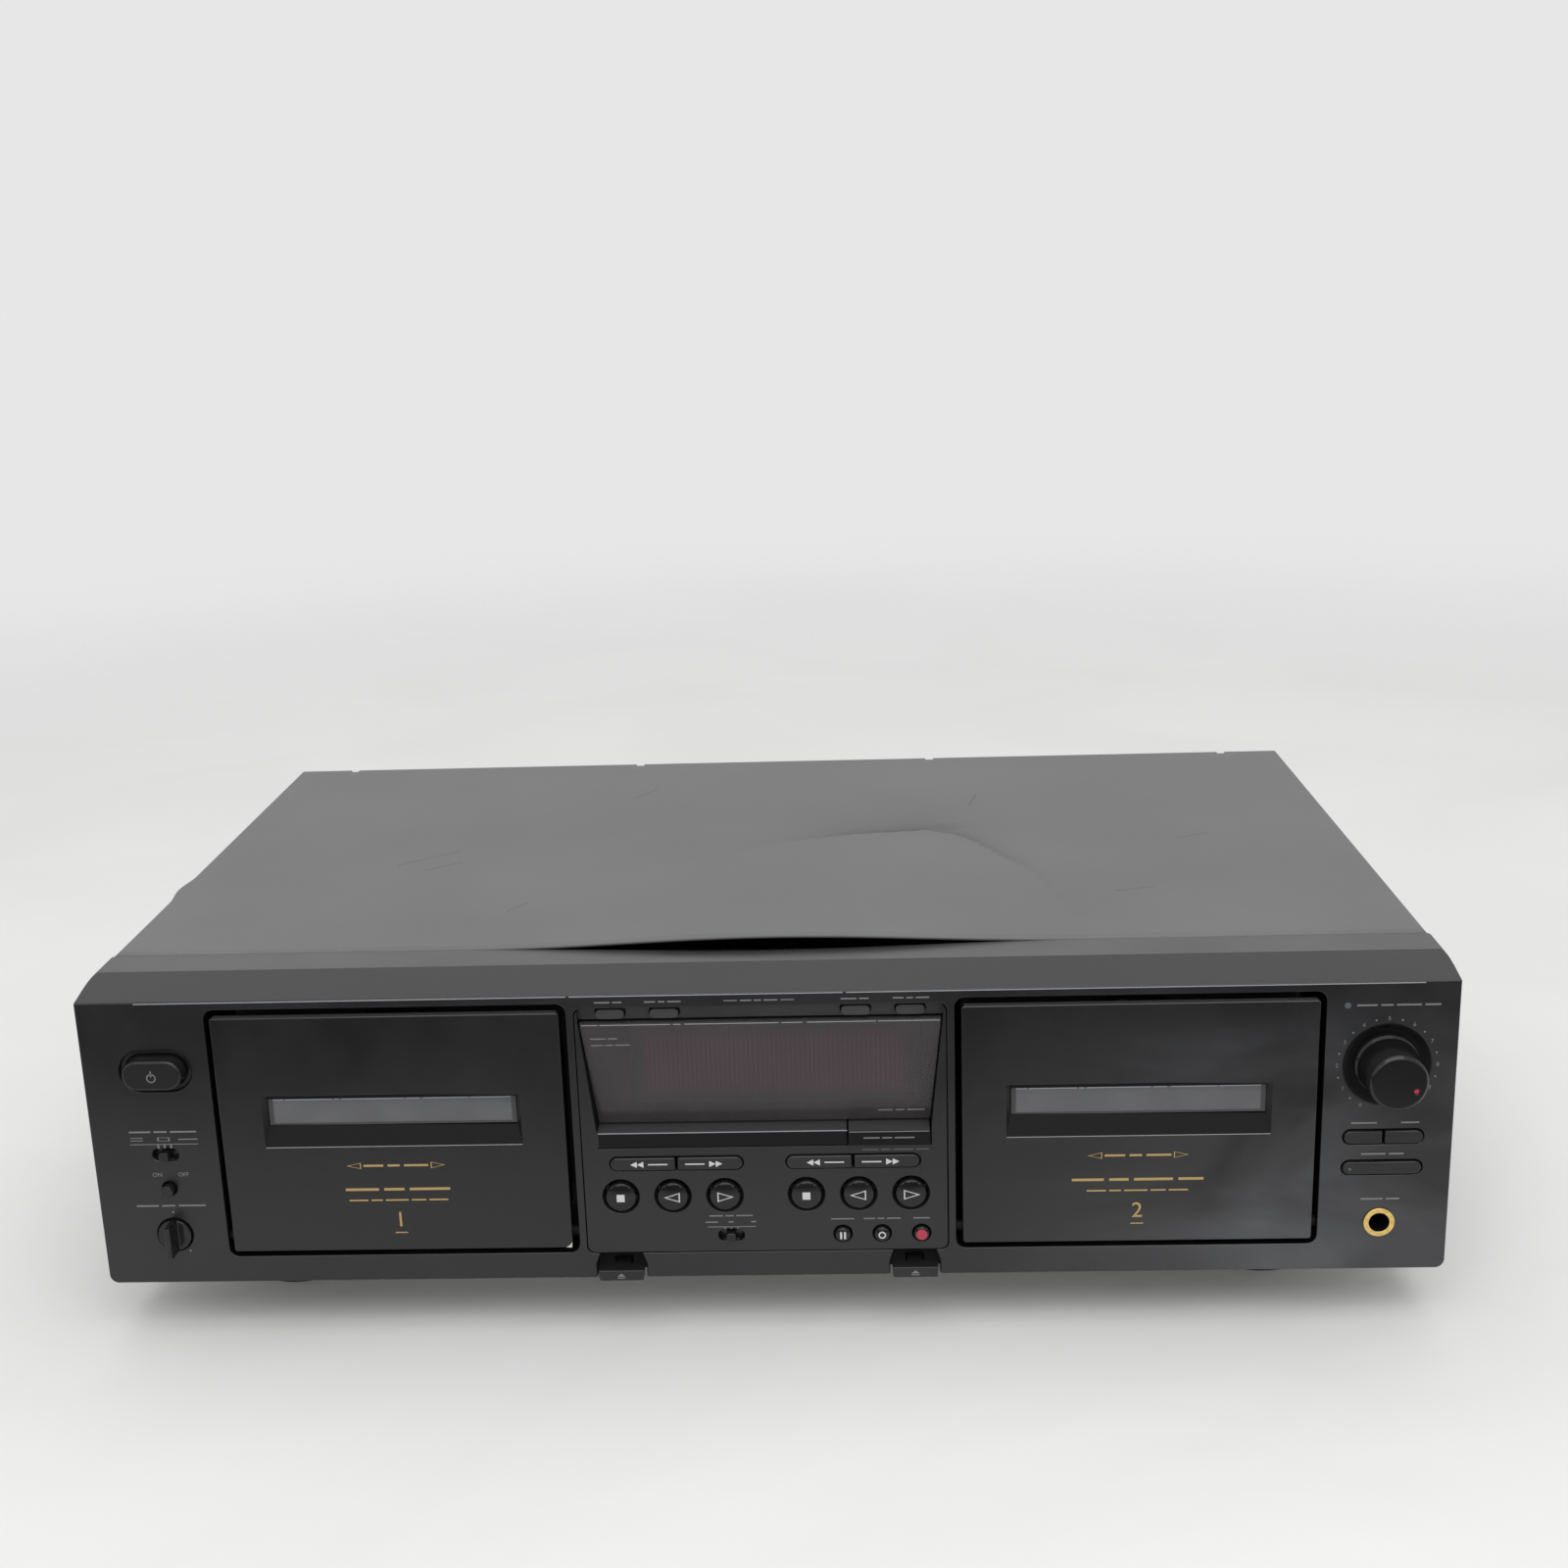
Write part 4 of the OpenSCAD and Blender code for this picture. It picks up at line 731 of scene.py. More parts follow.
# %% Shape of the cover
SHEET = 1.0
COVER_FRONT, COVER_REAR = 33.0, 265.0
REAR_FACE = COVER_REAR - SHEET
BOW_REACH, BOW_RISE = 105, 3.0
FOLD = [(-105, 34), (-60, 104), (3, 145), (28, 153), (58, 157), (69, 150), (75, 142), (95, 100), (108, 34)]
DIP, DIP_MIDDLE, DIP_REACH = 2.2, 52, 62
# the last reach is how far back the painted shade behind the fold fades
DROP_REACH, RETURN_REACH, FOLD_SHADE_REACH = 12, 25, 9
DENT, DENT_X, DENT_DEPTH, DENT_REACH = 0.9, 67, 161, 9
DING, DING_DEPTH, DING_REACH, DING_FOOT, DING_HEIGHT = 1.6, 102, 15, 106, 14


def fold_depth(x):
    for (x0, d0), (x1, d1) in zip(FOLD, FOLD[1:]):
        if x0 <= x <= x1:
            return d0 + (d1 - d0) * (x - x0) / (x1 - x0)
    return FOLD[0][1]


def cover_rise(x, depth):
    fold = fold_depth(x)
    bow = BOW_RISE * hump((x - BOW_MIDDLE) / BOW_REACH) * max(0, (fold - depth) / (fold - COVER_FRONT))
    behind = max(0, depth - fold)
    drop = (1 - math.exp(-behind / DROP_REACH)) * math.exp(-behind / RETURN_REACH)
    dent = DENT * hump(math.hypot(x - DENT_X, depth - DENT_DEPTH) / DENT_REACH)
    return bow - DIP * hump((x - DIP_MIDDLE) / DIP_REACH) * drop - dent


# painted shade behind the fold: full at the fold, fading backwards
def grime_at(x, depth):
    behind = depth - fold_depth(x)
    return hump((x - DIP_MIDDLE) / DIP_REACH) * math.exp(-behind / FOLD_SHADE_REACH) if behind >= 0 else 0


def ding_at(depth, z):
    return DING * hump((depth - DING_DEPTH) / DING_REACH) * max(0, (z - DING_FOOT) / DING_HEIGHT)


print("rise at the front middle:", round(cover_rise(BOW_MIDDLE, COVER_FRONT), 2), "mm")

# %% [markdown]
# ## Sheet of the cover
# The grid is fine where the sheet is bent and coarse where it is flat. Each run of columns, rows or
# heights is written as its start, its end and the width of a step. Four notches at the rear edge are
# simply faces left out, so their sides are columns of the grid.

# %% Sheet of the cover
CORNER, CORNER_STEPS = 1.2, 4
FINE_LEFT, FINE_RIGHT = -12, 104
ROW_RUNS = [(COVER_FRONT, 84, 4), (84, 124, 2.0), (124, 176, 1.2), (176, 206, 3)]
SIDE_FINE = 20
NOTCHES = (-189.5, -63.2, 63.2, 189.5)
NOTCH_HALF, NOTCH_FRONT = 1.7, 262.6
cover_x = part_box("top_cover")[1][0] / MM
cover_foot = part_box("top_cover")[0][2] / MM
corner_x, corner_z = cover_x - CORNER, case_top - CORNER


def steps(*runs):
    places = []
    for low, high, width in runs:
        count = max(1, round((high - low) / width))
        places += [low + (high - low) * i / count for i in range(count)]
    return places


column_runs = [(-corner_x, FINE_LEFT, 7), (FINE_LEFT, FINE_RIGHT, 2), (FINE_RIGHT, corner_x, 7)]
columns = steps(*column_runs) + [corner_x]
columns = sorted(set(columns) | {n + s * NOTCH_HALF for n in NOTCHES for s in (-1, 1)})
rows = steps(*ROW_RUNS, (ROW_RUNS[-1][1], NOTCH_FRONT, 7)) + [NOTCH_FRONT, COVER_REAR]
side_heights = steps((cover_foot, case_top - SIDE_FINE, 13), (case_top - SIDE_FINE, corner_z, 2.5))
corner_angles = [math.pi / 2 * i / CORNER_STEPS for i in range(CORNER_STEPS)]
profile = [(-cover_x, z) for z in side_heights]
profile += [(-corner_x - CORNER * math.cos(a), corner_z + CORNER * math.sin(a)) for a in corner_angles]
left_half = len(profile)
profile += [(x, case_top) for x in columns] + [(-x, z) for x, z in reversed(profile)]

sheet = bmesh.new()
# each vertex stores how much painted shade darkens the paint there
grime = sheet.verts.layers.float.new("grime")
grid = []
for depth in rows:
    line = []
    for i, (x, z) in enumerate(profile):
        on_top = left_half <= i < left_half + len(columns)
        lift = cover_rise(x, depth) if on_top else 0
        ding = ding_at(depth, z) if i <= left_half else 0
        line.append(sheet.verts.new(place(x - ding, depth, z + lift)))
        line[-1][grime] = grime_at(x, depth) if on_top else 0
    grid.append(line)
for j in range(len(rows) - 1):
    for i in range(len(profile) - 1):
        middle = (profile[i][0] + profile[i + 1][0]) / 2
        by_rear = rows[j] >= NOTCH_FRONT and profile[i][1] == profile[i + 1][1] == case_top
        if not (by_rear and any(abs(middle - n) < NOTCH_HALF for n in NOTCHES)):
            sheet.faces.new((grid[j][i], grid[j][i + 1], grid[j + 1][i + 1], grid[j + 1][i]))
bmesh.ops.recalc_face_normals(sheet, faces=sheet.faces)
if sum(f.normal.z for f in sheet.faces) < 0:
    bmesh.ops.reverse_faces(sheet, faces=sheet.faces)
cover = finished("bowed_cover", sheet, cover_paint, "case", slot_of["top_cover"], smooth=35)
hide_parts("top_cover")
thickness = cover.modifiers.new("sheet thickness", "SOLIDIFY")
thickness.thickness = SHEET * MM
thickness.offset = -1
print("cover sheet:", len(cover.data.polygons), "faces")

# %% [markdown]
# ## Geometry Nodes helpers
# What repeats on the deck is made by Geometry Nodes: a tree sets a copy of one shape on each of its
# points. The trees here share their frame. One function makes a tree with its named inputs, one sets
# the copies and gives them their finish, and one runs the tree and takes its result as a mesh. The
# copies are realized, because an exported model can't hold instances.

# %% Geometry Nodes helpers
def node_group(name, sizes, result):
    tree = bpy.data.node_groups.new(name, "GeometryNodeTree")
    for label, kind, value in sizes:
        socket = tree.interface.new_socket(label, in_out="INPUT", socket_type="NodeSocket" + kind)
        if value is not None:
            socket.default_value = value
    tree.interface.new_socket(result, in_out="OUTPUT", socket_type="NodeSocketGeometry")
    return tree, add(tree, "NodeGroupInput"), add(tree, "NodeGroupOutput")


def copies_on(tree, inputs, outputs, points, shape):
    copies = add(tree, "GeometryNodeInstanceOnPoints")
    wire(tree, *points, copies, "Points")
    wire(tree, *shape, copies, "Instance")
    real = add(tree, "GeometryNodeRealizeInstances")
    wire(tree, copies, "Instances", real, "Geometry")
    paint = add(tree, "GeometryNodeSetMaterial")
    wire(tree, real, "Geometry", paint, "Geometry")
    wire(tree, inputs, "Finish", paint, "Material")
    wire(tree, paint, "Geometry", outputs, 0)
    return copies


def evaluated_mesh(source):
    graph = bpy.context.evaluated_depsgraph_get()
    mesh = bpy.data.meshes.new_from_object(source.evaluated_get(graph))
    bpy.data.objects.remove(source)
    return mesh


def made_by(tree, mesh, **choices):
    holder = bpy.data.objects.new(mesh.name, mesh)
    scene.collection.objects.link(holder)
    maker = holder.modifiers.new("maker", "NODES")
    maker.node_group = tree
    for item in tree.interface.items_tree:
        if item.name in choices:
            maker[item.identifier] = choices[item.name]
    return evaluated_mesh(holder)


print("geometry node helpers ready")

# %% [markdown]
# ## Cross-head screws
# Eight screws hold the cover and the rear panel. They are all alike, so one tree builds a domed head,
# takes a cross out of it, and sets a copy on each point, turned to the direction stored on that point.

# %% Cross-head screws
SCREW_INPUTS = [
    ("Points", "Geometry", None), ("Head Radius", "Float", 3.8 * MM), ("Head Height", "Float", 1.9 * MM),
    ("Slot Width", "Float", 0.9 * MM), ("Slot Depth", "Float", 1.1 * MM), ("Finish", "Material", None),
]
SLOT_LENGTH = 4.2
SIDE_SCREW_Z, SIDE_SCREW_DEPTHS = 30.7, (63.0, 238.0)
REAR_SCREW_INSET, REAR_SCREW_HEIGHTS = 14, (28.7, 108.0)


def screw_tree():
    tree, inputs, outputs = node_group("cross_head_screws", SCREW_INPUTS, "Screws")
    dome = add(tree, "GeometryNodeMeshUVSphere", Segments=32, Rings=24)
    wire(tree, inputs, "Head Radius", dome, "Radius")
    squash = add(tree, "ShaderNodeCombineXYZ", X=1.0, Y=1.0)
    ratio = calculate(tree, "DIVIDE", (inputs, "Head Height"), (inputs, "Head Radius"))
    wire(tree, ratio, "Value", squash, "Z")
    flatten = add(tree, "GeometryNodeTransform")
    wire(tree, dome, "Mesh", flatten, "Geometry")
    wire(tree, squash, "Vector", flatten, "Scale")
    deep = calculate(tree, "MULTIPLY", (inputs, "Slot Depth"), 2.0)
    lift = add(tree, "ShaderNodeCombineXYZ")
    wire(tree, inputs, "Head Height", lift, "Z")
    cross = add(tree, "GeometryNodeJoinGeometry")
    for across in (0, 1):
        size = add(tree, "ShaderNodeCombineXYZ", X=SLOT_LENGTH * MM, Y=SLOT_LENGTH * MM)
        wire(tree, inputs, "Slot Width", size, across)
        wire(tree, deep, "Value", size, "Z")
        blade = add(tree, "GeometryNodeMeshCube")
        wire(tree, size, "Vector", blade, "Size")
        shift = add(tree, "GeometryNodeTransform")
        wire(tree, blade, "Mesh", shift, "Geometry")
        wire(tree, lift, "Vector", shift, "Translation")
        wire(tree, shift, "Geometry", cross, "Geometry")
    recess = add(tree, "GeometryNodeMeshBoolean", {"operation": "DIFFERENCE"})
    wire(tree, flatten, "Geometry", recess, "Mesh 1")
    wire(tree, cross, "Geometry", recess, "Mesh 2")
    copies = copies_on(tree, inputs, outputs, (inputs, "Points"), (recess, "Mesh"))
    facing = add(tree, "GeometryNodeInputNamedAttribute", {"data_type": "FLOAT_VECTOR"}, Name="facing")
    align = add(tree, "FunctionNodeAlignRotationToVector", {"axis": "Z"})
    wire(tree, facing, "Attribute", align, "Vector")
    wire(tree, align, "Rotation", copies, "Rotation")
    return tree


heads = [((side * cover_x, depth, SIDE_SCREW_Z), (side, 0, 0))
         for side in (-1, 1) for depth in SIDE_SCREW_DEPTHS]
heads += [((side * (cover_x - REAR_SCREW_INSET), REAR_FACE, z), (0, 1, 0))
          for side in (-1, 1) for z in REAR_SCREW_HEIGHTS]
points = bpy.data.meshes.new("screw_places")
points.from_pydata([place(*spot) for spot, _ in heads], [], [])
facing = points.attributes.new("facing", "FLOAT_VECTOR", "POINT")
for item, (_, direction) in zip(facing.data, heads):
    item.vector = direction
screw_mesh = made_by(screw_tree(), points, Finish=black_steel)
screws = owned("cross_head_screws", screw_mesh, "case", slot_of["case_screws"])
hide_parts("case_screws")
print("screws:", len(screws.data.polygons), "faces")

# %% [markdown]
# ## Printed marks
# Marks on the front are screen printed ink, a few hundredths of a millimetre thick. Each mark is
# a thin closed solid that sits on the surface below it, so it stays put on a pressed key and on
# an opened door. Words are left off: thin plain bars stand in their places, and the keys carry
# the usual tape signs.

# %% Inks
def ink(name, shade, roughness=0.5):
    material, tree, shader, coords = blank_material(name, Roughness=roughness)
    speckle = noise(tree, coords, Scale=3000.0, Detail=2.0)
    colour = two_tone(tree, speckle, shaded(shade, 0.85), shade)
    wire(tree, *colour, shader, "Base Color")
    return material


white_ink = ink("white_ink", (0.55, 0.55, 0.55))
grey_ink = ink("grey_ink", (0.17, 0.17, 0.172))
dim_ink = ink("dim_ink", (0.08, 0.08, 0.082))
gold_ink = ink("gold_ink", (0.40, 0.27, 0.10))
border_ink = ink("border_ink", (0.05, 0.05, 0.052), 0.3)
# not an ink: a painted highlight, stamped like the marks
glint = ink("glint", (0.30, 0.31, 0.33), 0.3)
red_ink = ink("red_ink", (0.42, 0.03, 0.06), 0.25)
lamp_lens = ink("lamp_lens", (0.08, 0.105, 0.10), 0.2)
bare_chip = ink("bare_chip", (0.62, 0.58, 0.46))
print("inks made")

# %% [markdown]
# ## Shapes of the marks
# A mark is a list of shapes, and a shape is one closed loop of points, or two loops with the print
# between them. Most marks are rows of one kind, so a table of rows and the function that draws a row
# make the whole group.

# %% Shapes of the marks
WORD_LENGTHS, WORD_GAP, WORD_WEIGHT = (4.6, 2.8, 5.6, 3.6), 0.8, 0.42
TIP, BACK = 0.6, 0.5


def plate(*points):
    return [(list(points),)]


def bar(x0, z0, x1, z1):
    return plate((x0, z0), (x1, z0), (x1, z1), (x0, z1))


def rule(x0, x1, z, height=0.3):
    return bar(x0, z - height / 2, x1, z + height / 2)


def words(x0, x1, z, height):
    lengths, gap = [WORD_LENGTHS[0]], WORD_GAP * height
    while (sum(lengths) + lengths[-1] / 2) * height + gap * len(lengths) < x1 - x0:
        lengths.append(WORD_LENGTHS[len(lengths) % len(WORD_LENGTHS)])
    fit = (x1 - x0 - gap * (len(lengths) - 1)) / sum(lengths)
    shapes, x = [], x0
    for word in lengths:
        shapes += rule(x, x + word * fit, z, WORD_WEIGHT * height)
        x += word * fit + gap
    return shapes


def outline(points, width):
    middle = (sum(p[0] for p in points) / len(points), sum(p[1] for p in points) / len(points))
    reach = max(math.hypot(x - middle[0], z - middle[1]) for x, z in points)
    keep = 1 - width / reach
    inner = [(middle[0] + (x - middle[0]) * keep, middle[1] + (z - middle[1]) * keep) for x, z in points]
    return [(list(points), inner)]


def circle(x, z, radius, count=24):
    angles = [2 * math.pi * i / count for i in range(count)]
    return [(x + radius * math.cos(a), z + radius * math.sin(a)) for a in angles]


def triangle(x, z, size, way, tall=0.55):
    back, tip = x - way * size * BACK, x + way * size * TIP
    return [(back, z - size * tall), (tip, z), (back, z + size * tall)]


def rows_of(mark, rows):
    return [shape for row in rows for shape in mark(*row)]


print("mark shapes ready")

# %% [markdown]
# ## The stamp
# The stamp turns loops of points into thin solids. Their backs lie a little under the surface, so that
# no gap shows. Numbers come from Blender's own font as text curves, turned upright, made into meshes
# and welded.

# %% The stamp
INK_SUNK, INK_PROUD = 0.03, 0.05
FIGURE_WELD, FIGURE_ROUNDNESS = 0.001, 4


def pairs(items):
    return zip(items, items[1:] + items[:1])


def band(shape, one, two):
    for (a, b), (c, d) in zip(pairs(one), pairs(two)):
        shape.faces.new((a, b, d, c))


def stamp(name, shapes, material, body, slot, depth, sunk=INK_SUNK):
    mark = bmesh.new()
    for loops in shapes:
        rings = [[[mark.verts.new(place(x, depth + off, z)) for x, z in loop] for loop in loops]
                 for off in (sunk, -INK_PROUD)]
        for ring in rings:
            if len(ring) == 1:
                mark.faces.new(ring[0])
            else:
                band(mark, *ring)
        for low, high in zip(*rings):
            band(mark, low, high)
    bmesh.ops.recalc_face_normals(mark, faces=mark.faces)
    return finished(name, mark, material, body, slot)


def figures(name, items, material, body, slot, depth, size):
    marks = bmesh.new()
    upright = Matrix.Rotation(math.pi / 2, 4, "X")
    for text, x, z in items:
        curve = bpy.data.curves.new("figure", "FONT")
        curve.body = text
        curve.size = size * MM
        curve.align_x = "CENTER"
        curve.align_y = "CENTER"
        curve.extrude = (INK_SUNK + INK_PROUD) / 2 * MM
        curve.resolution_u = FIGURE_ROUNDNESS
        holder = bpy.data.objects.new("figure", curve)
        scene.collection.objects.link(holder)
        bpy.context.view_layer.update()
        mesh = evaluated_mesh(holder)
        mesh.transform(Matrix.Translation(place(x, depth + (INK_SUNK - INK_PROUD) / 2, z)) @ upright)
        marks.from_mesh(mesh)
        bpy.data.meshes.remove(mesh)
    bmesh.ops.remove_doubles(marks, verts=marks.verts, dist=FIGURE_WELD * MM)
    return finished(name, marks, material, body, slot)


print("stamp ready")

# %% [markdown]
# ## Marks on the fixed front
# The rows of bars beside the keys and the signs over the two slide switches ride on the case. The
# slide switches keep the signs that such decks share: a single pass, a loop and a chain of passes.
# A row of words is written as its left end, its right end, its height on the front and the size of its
# letters. A rule has its thickness in the last place.

# %% Marks on the fixed front
CASE_SLOT, PANEL_SLOT = slot_of["front_bezel"], slot_of["control_panel"]
FRONT_WORDS = [
    (-202.5, -180.8, 72.2, 1.3), (-186.8, -180.6, 69.6, 0.9), (-203, -180.5, 46.3, 1.3),
    (183.5, 209, 108.6, 1.3), (183.4, 191.4, 69.3, 1.3), (198.8, 204.4, 69.3, 1.3),
    (187, 200.2, 58.7, 1.3), (187.5, 199.6, 43.2, 1.3),
]
FRONT_RULES = [(-202.5, -180.5, 67.9, 0.25), (-202.3, -198.3, 70.1, 0.25), (-202.3, -198.3, 69.2, 0.25)]
FRONT_TICKS = [(x - 0.3, 66.5, x + 0.3, 67.8) for x in (-193.5, -191.5, -189.4)]
FRONT_DOTS = [(-191.4, 44, 0.35, 12), (-187.2, 30.2, 0.35, 12)]
LOOP_SIGN, LOOP_WIDTH = [(-193.6, 69), (-189.6, 69), (-189.6, 70.3), (-193.6, 70.3)], 0.5
SWITCH_WORDS, SWITCH_SIZE = [("ON", -195, 57.2), ("OFF", -186.5, 57.2)], 2.0
COUNTER_Z, COUNTER_SIZE = 113.7, 1.05
COUNTER_WORDS = [(-51.2, -42.6), (-35.6, -24.2), (-5.8, 5.8), (25.4, 34), (41.4, 52.6)]
PANEL_WORDS = [
    (-19.6, -15.6, 38, 1.0), (-12.2, -10.6, 38, 1.0), (-5, -3.4, 38, 1.0), (-18.2, -4.4, 40.2, 1.0),
    (20.6, 28, 38.6, 1.0), (31, 42.8, 38.6, 1.0), (46.8, 52, 38.6, 1.0),
]
PANEL_TICKS = [(x - 0.25, 35.6, x + 0.25, 36.3) for x in (-13.4, -11.4, -9.3)]

front_marks = rows_of(words, FRONT_WORDS) + rows_of(rule, FRONT_RULES) + outline(LOOP_SIGN, LOOP_WIDTH)
front_marks += rows_of(bar, FRONT_TICKS) + [(circle(*dot),) for dot in FRONT_DOTS]
stamp("front_marks", front_marks, grey_ink, "case", CASE_SLOT, 0)
figures("switch_words", SWITCH_WORDS, grey_ink, "case", CASE_SLOT, 0, SWITCH_SIZE)
counter_marks = rows_of(rule, [(-11, -6.8, COUNTER_Z), (6.8, 11, COUNTER_Z)])
counter_marks += rows_of(words, [(*ends, COUNTER_Z, COUNTER_SIZE) for ends in COUNTER_WORDS])
stamp("counter_marks", counter_marks, grey_ink, "case", CASE_SLOT, 0)
panel_marks = rows_of(words, PANEL_WORDS) + rule(-19, -3.5, 36.3, 0.25) + rows_of(bar, PANEL_TICKS)
stamp("panel_marks", panel_marks, grey_ink, "case", PANEL_SLOT, 0)
stamp("panel_dim_marks", words(31, 52, 62.6, 1.0), dim_ink, "case", PANEL_SLOT, 0)
print("fixed marks:", len(front_marks) + len(counter_marks) + len(panel_marks))

# %% [markdown]
# ## Glints and lamps
# Two long edges carry a painted highlight: the head of the black bar, and the edge where the slope
# at the top of the front begins, broken in places. Two small lamps, dark while the deck is off, are
# round lenses, and the lower one rides on the synchro button.

# %% Glints and lamps
EDGE_DROP, KEY_GAP, KEY_FACE = 0.3, 0.3, -0.6
# painted highlight under the slope, in three pieces
SLOPE_HIGHLIGHT = [(-196, -60, 115.75), (-59, 26, 115.75), (27, 204, 115.75)]
PILOT_LAMP, SYNCHRO_LAMP = (180.7, 108.6, 1.0), (183.6, 53.8, 0.45)
SYNCHRO_SLOT = slot_of["synchro_button"]

key_left, key_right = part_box("dubbing_button")[0].x / MM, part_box("dubbing_button")[1].x / MM
# painted highlight along the head of the black bar
bar_edge = rule(BAR_LEFT, key_left - KEY_GAP, BAR_HEAD - EDGE_DROP)
stamp("bar_edge", bar_edge, glint, "case", PANEL_SLOT, 0)
# painted highlight along the edge under the slope
stamp("slope_edge", rows_of(rule, SLOPE_HIGHLIGHT), glint, "case", CASE_SLOT, 0)
stamp("pilot_lamp", [(circle(*PILOT_LAMP),)], lamp_lens, "case", CASE_SLOT, 0)
stamp("synchro_lamp", [(circle(*SYNCHRO_LAMP),)], lamp_lens, "synchro_button", SYNCHRO_SLOT, KEY_FACE)
print("glints and lamps made")

# %% [markdown]
# ## Scale of the level dial
# Eleven numbers stand round the level knob, thirty degrees apart with the five on top, and a dot
# marks each half. The dots are a rule of one radius and one step, so Geometry Nodes draws them:
# a line of points is bent round by trigonometry on the point index.

# %% Dial scale
DIAL_Z, DIAL_RADIUS, DIAL_STEP, DIAL_SIZE = 88.7, 15.4, math.radians(30), 1.9
TOP_NUMBER = 5
DIAL_INPUTS = [
    ("Count", "Int", 2 * TOP_NUMBER), ("Radius", "Float", DIAL_RADIUS * MM),
    ("First Angle", "Float", math.radians(225)), ("Step", "Float", DIAL_STEP), ("Dot", "Float", 0.3 * MM),
    ("Thickness", "Float", 0.1 * MM), ("Centre", "Vector", None), ("Finish", "Material", None),
]
DOT_PROUD = -0.02


def dial_tree():
    tree, inputs, outputs = node_group("dial_dots", DIAL_INPUTS, "Dots")
    row = add(tree, "GeometryNodePoints")
    wire(tree, inputs, "Count", row, "Count")
    index = add(tree, "GeometryNodeInputIndex")
    turned = calculate(tree, "MULTIPLY", (index, "Index"), (inputs, "Step"))
    angle = calculate(tree, "SUBTRACT", (inputs, "First Angle"), (turned, "Value"))
    spot = add(tree, "ShaderNodeCombineXYZ")
    for operation, axis in (("COSINE", "X"), ("SINE", "Z")):
        part = calculate(tree, operation, (angle, "Value"))
        wire(tree, part, "Value", spot, axis)
    ring = calculate(tree, "SCALE", (spot, "Vector"), kind=VECTORS)
    wire(tree, inputs, "Radius", ring, "Scale")
    moved = calculate(tree, "ADD", (ring, "Vector"), (inputs, "Centre"), kind=VECTORS)
    wire(tree, moved, "Vector", row, "Position")
    dot = add(tree, "GeometryNodeMeshCylinder", Vertices=14)
    wire(tree, inputs, "Dot", dot, "Radius")
    wire(tree, inputs, "Thickness", dot, "Depth")
    copies = copies_on(tree, inputs, outputs, (row, "Points"), (dot, "Mesh"))
    copies.inputs["Rotation"].default_value = (math.pi / 2, 0, 0)
    return tree


def on_dial(angle, radius):
    return RIGHT_X + radius * math.sin(angle), DIAL_Z + radius * math.cos(angle)


dial_centre = place(RIGHT_X, DOT_PROUD, DIAL_Z)
dot_mesh = made_by(dial_tree(), bpy.data.meshes.new("dial_dots"), Centre=dial_centre, Finish=grey_ink)
owned("dial_half_dots", dot_mesh, "case", CASE_SLOT)
numbers = [(str(n), *on_dial(DIAL_STEP * (n - TOP_NUMBER), DIAL_RADIUS)) for n in range(2 * TOP_NUMBER + 1)]
figures("dial_numbers", numbers, grey_ink, "case", CASE_SLOT, 0, DIAL_SIZE)
print("dial:", len(numbers), "numbers")

# %% [markdown]
# ## Signs on the keys
# Each sign rides on its own key, so it goes in when the key is pressed. The round keys are domes, so
# their signs are flat plates at the crown that reach a quarter of a millimetre down into the dome.
# The seek keys carry two arrows and a bar in place of a word, and the eject keys a wedge over a line.

# %% Signs on the keys
PLAY_X, PLAY_PITCH, PLAY_Z, PLAY_CROWN = 29.6, 16.6, 47.4, -1.3
STOP_HALF = 1.25
ARROW_SIZE, ARROW_TALL, ARROW_LINE = 4.6, 0.36, 0.75
SEEK_X, SEEK_Z, SEEK_FACE, SEEK_REACH = 28, 58.75, -0.7, 11.4
SEEK_SIZE, SEEK_STEPS, SEEK_WORD = 1.9, (0, 2.1), (2.4, 8.6)
EJECT_HALF, EJECT_LINE, EJECT_FOOT, EJECT_TIP, EJECT_FACE = 1.3, 19.9, 20.4, 21.5, -2.6
DOT_Z, DOT_CROWN, IN_DOME = 33.35, -1.4, 0.25
PAUSE_BARS, PAUSE_WIDTH, PAUSE_HALF = (23.35, 24.6), 0.65, 1.2
POWER_Z, POWER_FACE = 92.4, -4
KNOB_DOT_RADIUS, KNOB_DOT_TURN, KNOB_FACE = 5.8, math.radians(116), -14.2

signs = []
for side, deck in ((-1, "a"), (1, "b")):
    middle = side * PLAY_X
    at = middle - PLAY_PITCH
    square = bar(at - STOP_HALF, PLAY_Z - STOP_HALF, at + STOP_HALF, PLAY_Z + STOP_HALF)
    signs.append(("stop_" + deck, square, white_ink, PLAY_CROWN, IN_DOME))
    for key, x, way in (("reverse_", middle, -1), ("play_", middle + PLAY_PITCH, 1)):
        arrow = outline(triangle(x, PLAY_Z, ARROW_SIZE, way, ARROW_TALL), ARROW_LINE)
        signs.append((key + deck, arrow, white_ink, PLAY_CROWN, IN_DOME))
    for key, way in (("rewind_", -1), ("forward_", 1)):
        start = side * SEEK_X + way * SEEK_REACH
        arrows = [(triangle(start + way * ahead, SEEK_Z, SEEK_SIZE, way),) for ahead in SEEK_STEPS]
        near, far = sorted(start - way * reach for reach in SEEK_WORD)
        signs.append((key + deck, arrows + words(near, far, SEEK_Z, 1.0), white_ink, SEEK_FACE, INK_SUNK))
    x0, x1 = side * EJECT_X - EJECT_HALF, side * EJECT_X + EJECT_HALF
    wedge = plate((x0, EJECT_FOOT), (x1, EJECT_FOOT), (side * EJECT_X, EJECT_TIP))
    signs.append(("eject_" + deck, wedge + rule(x0, x1, EJECT_LINE), grey_ink, EJECT_FACE, INK_SUNK))
